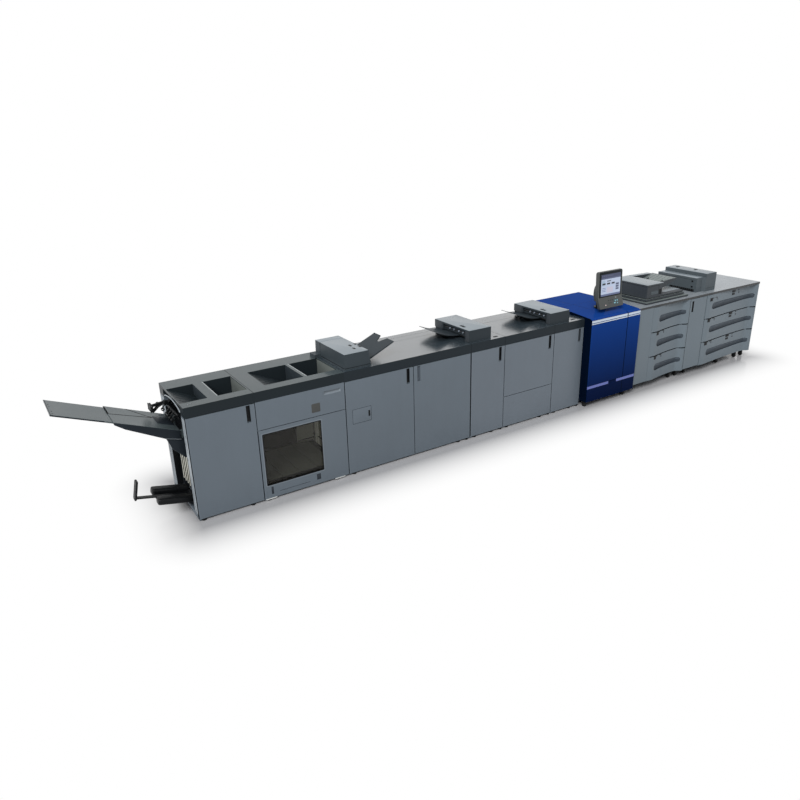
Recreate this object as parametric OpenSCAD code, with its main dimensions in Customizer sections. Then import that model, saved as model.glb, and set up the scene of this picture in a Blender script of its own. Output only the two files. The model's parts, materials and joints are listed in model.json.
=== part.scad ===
// Digital production printer line: booklet finisher, stacker, binder, relay, folder, relay, print
// engine and two paper feed units, docked side by side. X runs along the line from the output trays
// to the paper supply, Y from the operator's side to the back, Z up from the floor.

/* [Finishing modules] */
// Height of the finishing modules
unit_height = 1041; // [980:1:1100]
// Depth of the finishing modules from door face to back
unit_depth = 736; // [680:1:820]
// Height of the dark top cover of each module
deck_height = 92; // [70:1:110]
// Height of the feet under the finishing modules
foot_height = 8; // [6:1:20]
// Height of the base frame under each cabinet
base_height = 22; // [16:1:40]
// Width of the booklet finisher
finisher_width = 594; // [560:1:700]
// Width of the stacker
stacker_width = 857; // [820:1:950]
// Width of the binder
binder_width = 1453; // [1300:1:1600]
// Width of the first relay unit
relay_a_width = 443; // [380:1:520]
// Width of the folder
folder_width = 702; // [600:1:800]
// Width of the second relay unit
relay_b_width = 453; // [380:1:520]
// Gap between docked modules
dock_gap = 0.8; // [0.5:0.1:0.9]

/* [Doors] */
// Thickness of a swing door
door_thickness = 22; // [18:1:28]
// Clearance around a door or drawer
door_gap = 5; // [5:0.5:7]
// Clearance between a door's edge and its module's side
edge_gap = 3; // [3:0.5:5]
// Radius of the hinge pins
pin_radius = 4; // [3:0.5:5]
// Radial clearance of a pin in its bore
pin_clearance = 0.05; // [0.02:0.01:0.1]
// Length of a hinge pin inside its bore
pin_engagement = 7; // [5:0.5:9]
// Thickness of the bracket that carries a lower hinge pin
bracket_thickness = 4; // [3:0.5:6]
// Width of a vertical door grip
grip_width = 35; // [28:1:42]
// Height of a vertical door grip
grip_height = 156; // [120:1:180]
// Depth of a vertical door grip
grip_depth = 14; // [8:1:16]
// Distance from a door's free edge to its grip
grip_inset = 42; // [30:1:60]

/* [Top pockets] */
// Distance from the front face to the pockets
pocket_front = 115; // [90:1:160]
// Distance from the front face to the back wall of the pockets
pocket_back = 527; // [480:1:600]
// Depth of the deep pockets below the top
pocket_depth = 160; // [130:1:200]
// Slope of the shallow pockets' floors, in degrees
pocket_slope = 24; // [20:1:26]
// Wall of the tubs that hang under the top covers
tub_wall = 4; // [3:0.5:6]

/* [Output trays] */
// How far the tip of the output tray reaches past the line's left end
tray_reach = 925; // [860:1:1000]
// Where the tray's extension leaves the tray, from the line's left end
tray_joint = 498; // [460:1:540]
// Upward slope of the output tray, in degrees
tray_slope = 21.5; // [18:0.5:24]
// Height of the tray's surface where it enters the line
tray_root_height = 786; // [770:1:800]
// Front edge of the output tray
tray_front = 178; // [160:1:200]
// Back edge of the output tray
tray_back = 606; // [570:1:630]
// Thickness of the tray's extension
extension_thickness = 12; // [10:0.5:14]
// Clearance of sliding pieces on their rails
slide_clearance = 0.3; // [0.2:0.05:0.5]

/* [Stacker] */
// Height of the seam between the stacker's upper panel and its door
stacker_seam = 686; // [640:1:720]
// Left edge of the window, from the stacker's left side
window_left = 37; // [30:1:60]
// Width of the window
window_width = 562; // [480:1:600]
// Bottom of the window
window_bottom = 143; // [120:1:180]
// Height of the window
window_height = 499; // [420:1:520]
// Thickness of the glass
glass_thickness = 5; // [4:0.5:6]
// Height of the stacking platform's upper face
platform_height = 150; // [130:1:240]

/* [Engine] */
// Width of the print engine
engine_width = 798; // [740:1:860]
// How far the engine stands in front of the finishing modules
engine_front = 114; // [100:1:130]
// How far the engine reaches behind the finishing modules' front
engine_back = 866; // [820:1:920]
// Height of the engine's front edge
engine_front_height = 1048; // [1044:1:1056]
// How far the engine's top rises towards the back
engine_rise = 28; // [16:1:40]
// Height of the engine's underside
engine_bottom = 65; // [60:1:80]
// Width of the engine's door
engine_door_width = 578; // [540:1:600]
// Top of the engine's lower front panel
engine_panel_top = 257; // [240:1:280]
// Height of the engine's pale upper strip
engine_strip_height = 50; // [40:1:56]

/* [Operator panel] */
// Width of the operator panel
panel_width = 385; // [340:1:410]
// Height of the operator panel's screen part
screen_height = 300; // [270:1:320]
// Height of the operator panel's key part
keys_height = 112; // [100:1:124]
// How far the key part juts forward at its lower edge
keys_jut = 43; // [30:1:52]
// Thickness of the operator panel
panel_thickness = 42; // [34:1:46]
// Clearance between the operator panel and the engine's top
panel_clearance = 34; // [34:1:60]

/* [Paper feed units] */
// Width of the feed unit with the document feeder
feed_a_width = 1288; // [1240:1:1340]
// Width of the feed unit with wide drawers
feed_b_width = 1112; // [1040:1:1180]
// How far the feed units stand in front of the finishing modules
feed_front = 86; // [76:1:96]
// How far the feed units reach behind the finishing modules' front
feed_back = 700; // [660:1:760]
// Height of the feed units' upper face
feed_height = 1045; // [1043:1:1056]
// Thickness of the feed units' top plate
feed_plate = 27; // [22:1:32]
// Height of the feed units' underside
feed_bottom = 92; // [80:1:100]
// Width of the plain column beside the engine
feed_column = 267; // [240:1:290]
// Width of the narrow door beside the drawers
feed_door_width = 326; // [300:1:350]
// Thickness of a drawer front at its ends
drawer_front = 80; // [74:1:90]
// How far a drawer front is set back at its deepest
drawer_dish = 46; // [36:1:50]
// How far the ridge at a drawer front's left stands forward
drawer_ridge = 8; // [2:1:10]
// Depth of a drawer's tub
drawer_depth = 560; // [500:5:600]
// Wall of a drawer's tub
drawer_wall = 12; // [8:1:16]
// Wall between two drawer bays
bay_wall = 24; // [20:1:30]
// Radius of a caster wheel
caster_radius = 28; // [24:1:30]

/* [Hidden] */

// Where each module starts along the line
stacker_x = finisher_width;
binder_x = stacker_x + stacker_width;
relay_a_x = binder_x + binder_width;
folder_x = relay_a_x + relay_a_width;
relay_b_x = folder_x + folder_width;
engine_x = relay_b_x + relay_b_width;
feed_a_x = engine_x + engine_width;
feed_b_x = feed_a_x + feed_a_width;
line_end = feed_b_x + feed_b_width;
plate_overhang = 8;

// The origin lies on the floor, under the middle of the line's box
origin_x = (line_end + plate_overhang - tray_reach) / 2;
origin_y = (engine_back - engine_front) / 2;

deck_z = unit_height - deck_height;
cabinet_y = door_thickness + door_gap;
base_z = foot_height;
door_bottom = base_z + bracket_thickness + door_gap;
door_top = deck_z - door_gap;
half_door = door_thickness / 2;
pin_reach = door_gap + pin_engagement;
bore_radius = pin_radius + pin_clearance;
bore_depth = pin_engagement + 2;
cut = 1;
seat = 0.3;

finish = [0.42, 0.45, 0.48];
dark = [0.2, 0.22, 0.24];
black = [0.08, 0.085, 0.09];
blue = [0.08, 0.2, 0.5];
pale = [0.8, 0.83, 0.85];

module at_origin() {
  translate([-origin_x, -origin_y, 0]) children();
}

// A box between two corners
module block(x0, x1, y0, y1, z0, z1) {
  translate([x0, y0, z0]) cube([x1 - x0, y1 - y0, z1 - z0]);
}

// A side view, points as [x, z], carried from front to back
module side_profile(points, y0, y1) {
  translate([0, y1, 0]) rotate([90, 0, 0]) linear_extrude(y1 - y0) polygon(points);
}

// An end view, points as [y, z], carried along the line
module end_profile(points, x0, x1) {
  translate([x0, 0, 0]) rotate([90, 0, 90]) linear_extrude(x1 - x0) polygon(points);
}

// A vertical bore for a hinge pin, from z0 upwards
module pin_bore(x, y, z0, depth) {
  translate([x, y, z0]) cylinder(r = bore_radius, h = depth, $fn = 48);
}

// Plan position of a door's hinge pin: side 1 hinges at x0, side -1 at x1
function pin_x(x0, x1, side) = side > 0 ? x0 + half_door : x1 - half_door;

// A door that swings on pins at its top and bottom, with its hinged edge rounded about the pins
module swing_door(x0, x1, z0, z1, face, side) {
  px = pin_x(x0, x1, side);
  translate([px, face + half_door, z0]) cylinder(r = half_door, h = z1 - z0, $fn = 64);
  if (side > 0) block(px, x1, face, face + door_thickness, z0, z1);
  else block(x0, px, face, face + door_thickness, z0, z1);
  translate([px, face + half_door, z0 - pin_reach])
    cylinder(r = pin_radius, h = z1 - z0 + 2 * pin_reach, $fn = 48);
}

// The recess of a vertical door grip near the free edge
module grip_recess(x0, x1, z1, face, side) {
  gx = side > 0 ? x1 - grip_inset - grip_width : x0 + grip_inset;
  block(gx, gx + grip_width, face - cut, face + grip_depth, z1 - door_gap - grip_height, z1 - door_gap);
}

// Bracket under a door's lower pin, bored through
module hinge_bracket(x, y, z0, depth) {
  difference() {
    block(x - half_door + 1, x + half_door - 1, y - half_door + 1, y + depth, z0, z0 + bracket_thickness);
    pin_bore(x, y, z0 - cut, bracket_thickness + 2 * cut);
  }
}

// A closed cabinet on its base frame; pins lists the plan x of lower hinge pins
module cabinet_block(x0, x1, pins) {
  block(x0 + dock_gap / 2, x1 - dock_gap / 2, cabinet_y, unit_depth, base_z + base_height, deck_z);
  block(x0 + 6, x1 - 6, cabinet_y + 10, unit_depth - 10, base_z, base_z + base_height + cut);
  for (x = pins) hinge_bracket(x, half_door, base_z, cabinet_y + 20);
}

// A module's top cover, bored for upper hinge pins
module deck(x0, x1, pins) {
  difference() {
    block(x0 + dock_gap / 2, x1 - dock_gap / 2, 0, unit_depth, deck_z, unit_height);
    for (x = pins) pin_bore(x, half_door, deck_z - cut, bore_depth + cut);
  }
}

// ---- Booklet finisher ----
recess_depth = 90;
recess_front = 95;
recess_back = tray_back + 6;
recess_bottom = 60;
pocket_a_left = 8;
pocket_a_right = 238;
pocket_b_left = 327;
pocket_b_right = finisher_width - 6;
tub_bottom = unit_height - pocket_depth - tub_wall;
finisher_door_left = edge_gap;
finisher_door_right = finisher_width - edge_gap;
finisher_pin = pin_x(finisher_door_left, finisher_door_right, 1);
rail_width = 30;
rail_front = tray_front + 10;
rail_back = tray_back - 10 - rail_width;
rail_face = 52;

module tub_space(x0, x1, margin) {
  block(x0 - tub_wall - margin, x1 + tub_wall + margin, pocket_front - tub_wall - margin,
        pocket_back + tub_wall + margin, tub_bottom - margin, deck_z + cut);
}

module finisher_cabinet() color(finish) at_origin() {
  difference() {
    cabinet_block(0, finisher_width, [finisher_pin]);
    block(-cut, recess_depth, recess_front, recess_back, recess_bottom, deck_z + cut);
    tub_space(recess_depth + 30, finisher_width - 10 - tub_wall, slide_clearance);
  }
  for (y = [rail_front, rail_back]) {
    block(rail_face, recess_depth + cut, y, y + rail_width, recess_bottom - cut, deck_z);
  }
}

// A pocket whose floor falls away from its left edge
module sloped_pocket(x0, x1) {
  side_profile([[x0, unit_height + cut], [x0, unit_height - 4],
                [x1, unit_height - 4 - (x1 - x0) * tan(pocket_slope)], [x1, unit_height + cut]],
               pocket_front, pocket_back);
}

module deep_pocket(x0, x1) {
  block(x0, x1, pocket_front, pocket_back, unit_height - pocket_depth, unit_height + cut);
}

module finisher_top() color(dark) at_origin() difference() {
  union() {
    deck(0, finisher_width, [finisher_pin]);
    tub_space(recess_depth + 30, finisher_width - 10 - tub_wall, 0);
  }
  sloped_pocket(pocket_a_left, pocket_a_right);
  deep_pocket(pocket_b_left, pocket_b_right - 8);
  side_profile([[-cut, deck_z - cut], [-cut, unit_height - 16], [rail_face, unit_height - 16 - rail_face * tan(pocket_slope)],
                [rail_face, deck_z - cut]], recess_front, recess_back);
}

module finisher_door() color(finish) at_origin() difference() {
  swing_door(finisher_door_left, finisher_door_right, door_bottom, door_top, 0, 1);
  grip_recess(finisher_door_left, finisher_door_right, door_top, 0, 1);
}

grille_bars = 5;
grille_pitch = 62;
grille_bottom = 180;
grille_top = 486;
grille_face = 48;
grille_bar = 10;

// Upright ribs on two crossbars that reach from rail to rail
module end_grille() color(pale) at_origin() {
  middle = (rail_front + rail_back + rail_width) / 2;
  for (i = [0 : grille_bars - 1]) {
    y = middle + (i - (grille_bars - 1) / 2) * grille_pitch;
    block(grille_face, rail_face + 8, y - grille_bar / 2, y + grille_bar / 2, grille_bottom, grille_top);
  }
  for (z = [grille_bottom + 20, grille_top - 32]) {
    block(rail_face + 6, rail_face + 16, rail_front + rail_width + seat, rail_back - seat, z, z + 12);
  }
}

// Height of the output tray's upper face at a distance left of the line
function tray_z(d) = tray_root_height + d * tan(tray_slope);
tray_skin = 4;
tray_bottom_skin = 5;
slot_height = (extension_thickness + 2 * slide_clearance) / cos(tray_slope);
extension_inset = 20;
extension_overlap = 60;
retract = 330;
carriage_bottom = 530;
carriage_top = 778;

module output_tray() color(finish) at_origin() {
  difference() {
    side_profile([[-tray_joint, tray_z(tray_joint)],
                  [-tray_joint, tray_z(tray_joint) - tray_skin - slot_height - tray_bottom_skin],
                  [-tray_joint + 75, tray_z(tray_joint) - 79],
                  [-128, 742], [-5, 706], [-5, tray_z(5)]], tray_front, tray_back);
    side_profile([[-tray_joint - cut, tray_z(tray_joint + cut) - tray_skin],
                  [-tray_joint - cut, tray_z(tray_joint + cut) - tray_skin - slot_height],
                  [-tray_joint + extension_overlap + retract + 8,
                   tray_z(tray_joint - extension_overlap - retract - 8) - tray_skin - slot_height],
                  [-tray_joint + extension_overlap + retract + 8,
                   tray_z(tray_joint - extension_overlap - retract - 8) - tray_skin]],
                 tray_front + extension_inset, tray_back - extension_inset);
  }
  for (y = [rail_front, rail_back]) {
    side_profile([[-131, 760], [-86, 638], [10, carriage_bottom], [rail_face - slide_clearance, carriage_bottom],
                  [rail_face - slide_clearance, carriage_top], [-40, carriage_top]], y, y + rail_width);
  }
}

module tray_extension() color(finish) at_origin() {
  z_drop = tray_skin + slide_clearance / cos(tray_slope);
  thick = extension_thickness / cos(tray_slope);
  side_profile([[-tray_reach, tray_z(tray_reach) - z_drop],
                [-tray_reach, tray_z(tray_reach) - z_drop - thick],
                [-tray_joint + extension_overlap, tray_z(tray_joint - extension_overlap) - z_drop - thick],
                [-tray_joint + extension_overlap, tray_z(tray_joint - extension_overlap) - z_drop]],
               tray_front + extension_inset + door_gap, tray_back - extension_inset - door_gap);
}

module paper_stop_arm() color(black) at_origin() {
  side_profile([[recess_depth, deck_z - 90], [recess_depth, deck_z - 60], [20, deck_z - 12], [-30, deck_z + 14],
                [-150, deck_z + 5], [-150, deck_z - 8], [-30, deck_z - 6], [10, deck_z - 40]], 440, 470);
  block(-160, -145, 400, 510, deck_z - 40, deck_z + 10);
}

booklet_front = 150;
booklet_back = 450;
booklet_slope = 12;
booklet_root_z = 100;

module booklet_frame() {
  translate([rail_face, 0, booklet_root_z]) rotate([0, booklet_slope, 0]) children();
}

booklet_length = 340;
booklet_end = 14;
stop_travel = 120;
booklet_height = 62;
booklet_bar_width = 92;
booklet_round = 22;
booklet_base = 20;
stop_rod_front = 280;
stop_rod_back = 320;
stop_rod_top = 32;
stop_rod_end = 60;
bridge_start = 50;
bridge_width = 40;
bridge_wall = 18;
bridge_top = 46;
stop_plate = 12;
stop_plate_top = 175;

// A long bar with rounded edges, around a middle line at y
module booklet_bar(y) {
  half = booklet_bar_width / 2;
  block(-booklet_length, -booklet_end, y - half + booklet_round, y + half - booklet_round, 0, booklet_height);
  block(-booklet_length, -booklet_end, y - half, y + half, booklet_round, booklet_height - booklet_round);
  for (side = [-1, 1], z = [booklet_round, booklet_height - booklet_round]) {
    translate([-booklet_length, y + side * (half - booklet_round), z]) rotate([0, 90, 0])
      cylinder(r = booklet_round, h = booklet_length - booklet_end, $fn = 64);
  }
}

// Two rounded bars on a base plate, and a bridge that guides the stop's rod between them
module booklet_tray() color(black) at_origin() {
  bridge_x = bridge_start - booklet_length;
  half = booklet_bar_width / 2;
  booklet_frame() {
    booklet_bar(booklet_front + half);
    booklet_bar(booklet_back - half);
    block(-booklet_length + 10, -booklet_end, booklet_front + half, booklet_back - half, 0, booklet_base);
    for (y = [stop_rod_front - bridge_wall, stop_rod_back]) {
      block(bridge_x, bridge_x + bridge_width, y, y + bridge_wall, booklet_base - cut, bridge_top);
    }
    block(bridge_x, bridge_x + bridge_width, stop_rod_front - bridge_wall, stop_rod_back + bridge_wall,
          stop_rod_top, bridge_top);
  }
  block(rail_face - 30, rail_face, booklet_front + 40, booklet_back - 40, recess_bottom + 20, booklet_root_z + 30);
}

module booklet_stop() color(black) at_origin() booklet_frame() {
  plate_x = -booklet_length - 160;
  block(plate_x + 10, -stop_rod_end - door_gap - stop_travel, stop_rod_front + slide_clearance,
        stop_rod_back - slide_clearance, booklet_base + slide_clearance, stop_rod_top - slide_clearance);
  block(plate_x, plate_x + stop_plate, stop_rod_front - 3, stop_rod_back + 3, booklet_base - 6, stop_plate_top);
}

// ---- Stacker ----
chamber_wall = 18;
chamber_back = unit_depth - 36;
chamber_bottom = base_z + base_height + 14;
stacker_left = stacker_x + edge_gap;
stacker_right = stacker_x + stacker_width - edge_gap;
stacker_pin = pin_x(stacker_left, stacker_right, 1);
pocket_c_left = stacker_x + 147;
pocket_c_right = stacker_x + 516;
pocket_d_left = stacker_x + 551;
pocket_d_right = stacker_x + stacker_width - 14;

module stacker_cabinet() color(finish) at_origin() difference() {
  cabinet_block(stacker_x, binder_x, [stacker_pin]);
  block(stacker_x + chamber_wall, binder_x - chamber_wall, cabinet_y - cut, chamber_back,
        chamber_bottom, stacker_seam - 10);
  tub_space(pocket_c_left, pocket_d_right, slide_clearance);
}

module stacker_top() color(dark) at_origin() difference() {
  union() {
    deck(stacker_x, binder_x, []);
    tub_space(pocket_c_left, pocket_d_right, 0);
  }
  sloped_pocket(pocket_c_left, pocket_c_right);
  deep_pocket(pocket_d_left, pocket_d_right);
}

module stacker_upper_panel() color(finish) at_origin() difference() {
  block(stacker_left, stacker_right, 0, cabinet_y, stacker_seam + door_gap / 2, deck_z);
  pin_bore(stacker_pin, half_door, stacker_seam + door_gap / 2 - cut, bore_depth + cut);
  block(stacker_right - 208, stacker_right - 35, -cut, 16, deck_z - 79, deck_z - 44);
}

window_x = stacker_x + window_left;
rebate = 10;

module stacker_door() color(finish) at_origin() difference() {
  swing_door(stacker_left, stacker_right, door_bottom, stacker_seam - door_gap / 2, 0, 1);
  block(window_x, window_x + window_width, -cut, door_thickness + cut,
        window_bottom, window_bottom + window_height);
  block(window_x - rebate, window_x + window_width + rebate, door_thickness / 2, door_thickness + cut,
        window_bottom - rebate, window_bottom + window_height + rebate);
}

module stacker_window() color([0.2, 0.18, 0.16, 0.6]) at_origin()
  block(window_x - rebate + 0.5, window_x + window_width + rebate - 0.5, door_thickness / 2,
        door_thickness / 2 + glass_thickness, window_bottom - rebate + 0.5,
        window_bottom + window_height + rebate - 0.5);

module stacker_platform() color(dark) at_origin() {
  block(stacker_x + 60, binder_x - 60, cabinet_y + 40, chamber_back - 40, platform_height - 14, platform_height);
  block(stacker_x + 200, binder_x - 200, cabinet_y + 140, chamber_back - 140, chamber_bottom, platform_height - 14);
}

// ---- Binder, relays and folder ----
binder_split = binder_x + 751;
binder_left = [binder_x + edge_gap, binder_split - edge_gap];
binder_right = [binder_split + edge_gap, relay_a_x - edge_gap];
binder_pins = [pin_x(binder_left[0], binder_left[1], 1), pin_x(binder_right[0], binder_right[1], -1)];
relay_a_span = [relay_a_x + edge_gap, folder_x - edge_gap];
relay_a_pin = pin_x(relay_a_span[0], relay_a_span[1], 1);
folder_span = [folder_x + edge_gap, relay_b_x - edge_gap];
folder_pin = pin_x(folder_span[0], folder_span[1], 1);
folder_seam = 366;
relay_b_span = [relay_b_x + edge_gap, engine_x - door_gap];
relay_b_pin = pin_x(relay_b_span[0], relay_b_span[1], 1);

module plain_door(span, side) difference() {
  swing_door(span[0], span[1], door_bottom, door_top, 0, side);
  grip_recess(span[0], span[1], door_top, 0, side);
}

module binder_cabinet() color(finish) at_origin() cabinet_block(binder_x, relay_a_x, binder_pins);

module binder_door_left() color(finish) at_origin() plain_door(binder_left, 1);

module binder_door_right() color(finish) at_origin() plain_door(binder_right, -1);

module relay_a_cabinet() color(finish) at_origin() cabinet_block(relay_a_x, folder_x, [relay_a_pin]);

module relay_a_door() color(finish) at_origin() plain_door(relay_a_span, 1);

module folder_cabinet() color(finish) at_origin() cabinet_block(folder_x, relay_b_x, []);

module folder_lower_panel() color(finish) at_origin() difference() {
  block(folder_span[0], folder_span[1], 0, cabinet_y, door_bottom, folder_seam - door_gap / 2);
  pin_bore(folder_pin, half_door, folder_seam - door_gap / 2 - bore_depth, bore_depth + cut);
}

module folder_door() color(finish) at_origin() difference() {
  swing_door(folder_span[0], folder_span[1], folder_seam + door_gap / 2, door_top, 0, 1);
  grip_recess(folder_span[0], folder_span[1], door_top, 0, 1);
}

module relay_b_cabinet() color(finish) at_origin() cabinet_block(relay_b_x, engine_x, [relay_b_pin]);

module relay_b_door() color(finish) at_origin() plain_door(relay_b_span, 1);

module cabinet_tops() color(dark) at_origin() {
  deck(binder_x, relay_a_x, binder_pins);
  deck(relay_a_x, folder_x, [relay_a_pin]);
  deck(folder_x, relay_b_x, [folder_pin]);
  deck(relay_b_x, engine_x, [relay_b_pin]);
}

// ---- Inserters on the tops ----
inserter_1_left = binder_x + 34;
inserter_1_width = 256;
inserter_1_height = 146;
inserter_1_flare = 22;
inserter_front = 42;
inserter_back = 636;
low_inserter_width = 283;
low_inserter_height = 124;
inserter_2_left = relay_a_x;
inserter_3_left = relay_b_x - 32;
cheek = 66;
hood_bottom = 46;
hood_depth = 100;

module inserter_1() color(dark) at_origin() {
  top = unit_height + inserter_1_height;
  side_profile([[inserter_1_left, unit_height], [inserter_1_left + 3, top],
                [inserter_1_left + inserter_1_width, top],
                [inserter_1_left + inserter_1_width + inserter_1_flare, unit_height]], inserter_front, inserter_back);
  block(inserter_1_left - 64, inserter_1_left + cut, inserter_back - 110, inserter_back, unit_height,
        unit_height + 34);
}

// A low inserter: a cabinet open under its left side, between a front and a back cheek
module low_inserter(x0) {
  top = unit_height + low_inserter_height;
  difference() {
    block(x0, x0 + low_inserter_width, inserter_front, inserter_back, unit_height, top);
    block(x0 - cut, x0 + hood_depth, inserter_front + cheek, inserter_back + cut, unit_height - cut,
          unit_height + hood_bottom);
    block(x0 - cut, x0 + 24, inserter_front + cheek, inserter_back - 150, unit_height + hood_bottom - cut,
          top - 18);
  }
}

module inserter_2() color(dark) at_origin() low_inserter(inserter_2_left);

module inserter_3() color(dark) at_origin() low_inserter(inserter_3_left);

sheet = 5;
low_tray_front = 240;
low_tray_back = 578;

// A low inserter's feed tray: a sheet that rises in a shallow curve to its left
module low_tray(x0) {
  root = unit_height + 34;
  line = [[hood_depth - seat, 0], [40, 0], [-10, 3], [-60, 9], [-110, 19], [-160, 34], [-205, 51], [-242, 66]];
  under = [for (i = [len(line) - 1 : -1 : 0]) [x0 + line[i][0], root + line[i][1] - sheet]];
  side_profile(concat([for (q = line) [x0 + q[0], root + q[1]]], under), low_tray_front, low_tray_back);
}

// Where the first inserter's sloping right face stands at a height above the modules
function inserter_1_face(z) =
  inserter_1_left + inserter_1_width + inserter_1_flare * (1 - z / inserter_1_height) + seat;

wing_length = 324;
wing_sheet = 10;
wing_front = 120;
wing_back = 480;

module inserter_trays() color(dark) at_origin() {
  tip = inserter_1_left + inserter_1_width + wing_length;
  tip_z = unit_height + inserter_1_height;
  difference() {
    side_profile([[inserter_1_face(10), unit_height + 10], [tip, tip_z], [tip - 4, tip_z + wing_sheet],
                  [inserter_1_face(26), unit_height + 26]], wing_front, wing_back);
    translate([0, 0, unit_height]) linear_extrude(200)
      polygon([[tip + 10, 230], [tip + 10, 370], [tip - 75, 320], [tip - 75, 280]]);
  }
  low_tray(inserter_2_left);
  low_tray(inserter_3_left);
}

// ---- Print engine ----
trim_thickness = 4;
engine_face = -engine_front;
engine_core = engine_face + trim_thickness;
engine_door_left = engine_x + edge_gap;
engine_door_right = engine_door_left + engine_door_width;
engine_pin = pin_x(engine_door_left, engine_door_right, 1);
engine_pin_y = engine_face + half_door;
engine_right = feed_a_x - dock_gap;
engine_height = engine_front_height + engine_rise;
strip_top = engine_front_height - 8;
engine_strip_bottom = strip_top - engine_strip_height;
engine_brow = 30;
engine_slope_end = 200;
engine_side = [[engine_core, engine_bottom], [engine_core, strip_top], [engine_core + engine_brow, engine_front_height + 6],
               [engine_slope_end, engine_height], [engine_back, engine_height], [engine_back, engine_bottom]];

module engine_cabinet() color(blue) at_origin() {
  engine_shell();
  block(engine_door_right + door_gap, engine_right, engine_face, engine_core + cut, engine_panel_top + 4,
        engine_strip_bottom - 4);
}

// The housing's side view with the door's recess and pin bores
module engine_shell() difference() {
  end_profile(engine_side, engine_x, engine_right);
  block(engine_x - cut, engine_door_right + door_gap, engine_core - cut,
        engine_face + door_thickness + door_gap, engine_panel_top, engine_strip_bottom);
  pin_bore(engine_pin, engine_pin_y, engine_strip_bottom - cut, bore_depth + cut);
  pin_bore(engine_pin, engine_pin_y, engine_panel_top - bore_depth, bore_depth + cut);
}

module engine_door() color(blue) at_origin()
  swing_door(engine_door_left, engine_door_right, engine_panel_top + door_gap,
             engine_strip_bottom - door_gap, engine_face, 1);

module engine_trim() color(pale) at_origin() {
  block(engine_x + 2, engine_door_right - 6, engine_face, engine_core, engine_strip_bottom, strip_top);
  block(engine_door_right + 12, engine_right - 2, engine_face, engine_core, engine_strip_bottom, strip_top);
  block(engine_x + 2, engine_x + 348, engine_face, engine_core, engine_panel_top - 31, engine_panel_top);
  block(engine_x + 483, engine_right - 10, engine_face, engine_core, engine_panel_top - 31, engine_panel_top);
}

// ---- Operator panel ----
panel_x = engine_x + 219;
panel_width_end = panel_x + panel_width;
panel_bottom = engine_height + panel_clearance;
panel_knee = panel_bottom + keys_height;
panel_top = panel_knee + screen_height;
knee_y = 28;
screen_lean = 15;
panel_pivot_x = panel_x + panel_width / 2;
panel_pivot_y = knee_y + panel_thickness + 30;
panel_pivot_z = panel_knee - 12;
pivot_radius = 10;
boss_radius = 20;
ear_gap = 1;
boss_half = 40;
ear_radius = 18;

module panel_arm() color(dark) at_origin() difference() {
  union() {
    translate([panel_pivot_x, panel_pivot_y + 60, engine_height - 14]) cylinder(r = 70, h = 26, $fn = 96);
    block(panel_pivot_x - boss_half - 22, panel_pivot_x + boss_half + 22, panel_pivot_y + 30,
          panel_pivot_y + 70, engine_height, panel_pivot_z + 20);
    for (x = [panel_pivot_x - boss_half - 16, panel_pivot_x + boss_half + ear_gap]) {
      block(x, x + 15, panel_pivot_y, panel_pivot_y + 40, panel_pivot_z - ear_radius, panel_pivot_z + ear_radius);
      translate([x, panel_pivot_y, panel_pivot_z]) rotate([0, 90, 0]) cylinder(r = ear_radius, h = 15, $fn = 64);
    }
    translate([panel_pivot_x - boss_half - 10, panel_pivot_y, panel_pivot_z]) rotate([0, 90, 0])
      cylinder(r = pivot_radius, h = 2 * boss_half + 20, $fn = 64);
  }
  end_profile(engine_side, engine_x, engine_right);
}

// The panel: a screen part that leans back, a key part that juts forward, and a housing behind the screen
module operator_panel() color(dark) at_origin() difference() {
  union() {
    end_profile([[knee_y - keys_jut, panel_bottom], [knee_y, panel_knee], [knee_y + screen_lean, panel_top],
                 [knee_y + screen_lean + panel_thickness, panel_top - 4],
                 [knee_y + panel_thickness, panel_knee], [knee_y - keys_jut + panel_thickness, panel_bottom - 8]],
                panel_x, panel_width_end);
    end_profile([[knee_y + panel_thickness - 10, panel_knee + 72], [knee_y + panel_thickness + 62, panel_knee + 104],
                 [knee_y + panel_thickness + 66, panel_knee + 234],
                 [knee_y + panel_thickness, panel_top - 20]], panel_x + 4, panel_width_end - 4);
    translate([panel_pivot_x - boss_half, panel_pivot_y, panel_pivot_z]) rotate([0, 90, 0])
      cylinder(r = boss_radius, h = 2 * boss_half, $fn = 64);
    block(panel_pivot_x - boss_half, panel_pivot_x + boss_half, knee_y + panel_thickness - 16, panel_pivot_y,
          panel_pivot_z - boss_radius, panel_pivot_z + boss_radius);
  }
  translate([panel_pivot_x - boss_half - cut, panel_pivot_y, panel_pivot_z]) rotate([0, 90, 0])
    cylinder(r = pivot_radius + pin_clearance, h = 2 * boss_half + 2 * cut, $fn = 64);
}

// ---- Paper feed units ----
feed_face = -feed_front;
feed_top_z = feed_height - feed_plate;
bay_front = feed_face + drawer_front + door_gap;
bay_back = bay_front + drawer_depth + 40;
feed_a_bay = [feed_a_x + feed_column, feed_b_x - feed_door_width];
feed_b_bay = [feed_b_x, line_end];
drawer_floor = [feed_bottom, 399, 708, feed_top_z];
feed_door_span = [feed_a_bay[1] + edge_gap, feed_b_x - edge_gap];
feed_door_bottom = feed_bottom + bracket_thickness + door_gap;
feed_pin = pin_x(feed_door_span[0], feed_door_span[1], -1);
rail_height = 14;

// The space of bay i behind the drawer fronts
module bay_space(bay, i) {
  block(bay[0] + bay_wall, bay[1] - bay_wall, bay_front - cut, bay_back,
        drawer_floor[i] + bay_wall / 2, drawer_floor[i + 1] - bay_wall / 2);
}

// Rails that carry drawer i
module bay_rails(bay, i) {
  for (x = [bay[0] + bay_wall - cut, bay[1] - bay_wall - 20]) {
    block(x, x + 20 + cut, bay_front, bay_back + cut, drawer_floor[i] + bay_wall / 2 - cut,
          drawer_floor[i] + bay_wall / 2 + rail_height);
  }
}

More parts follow.
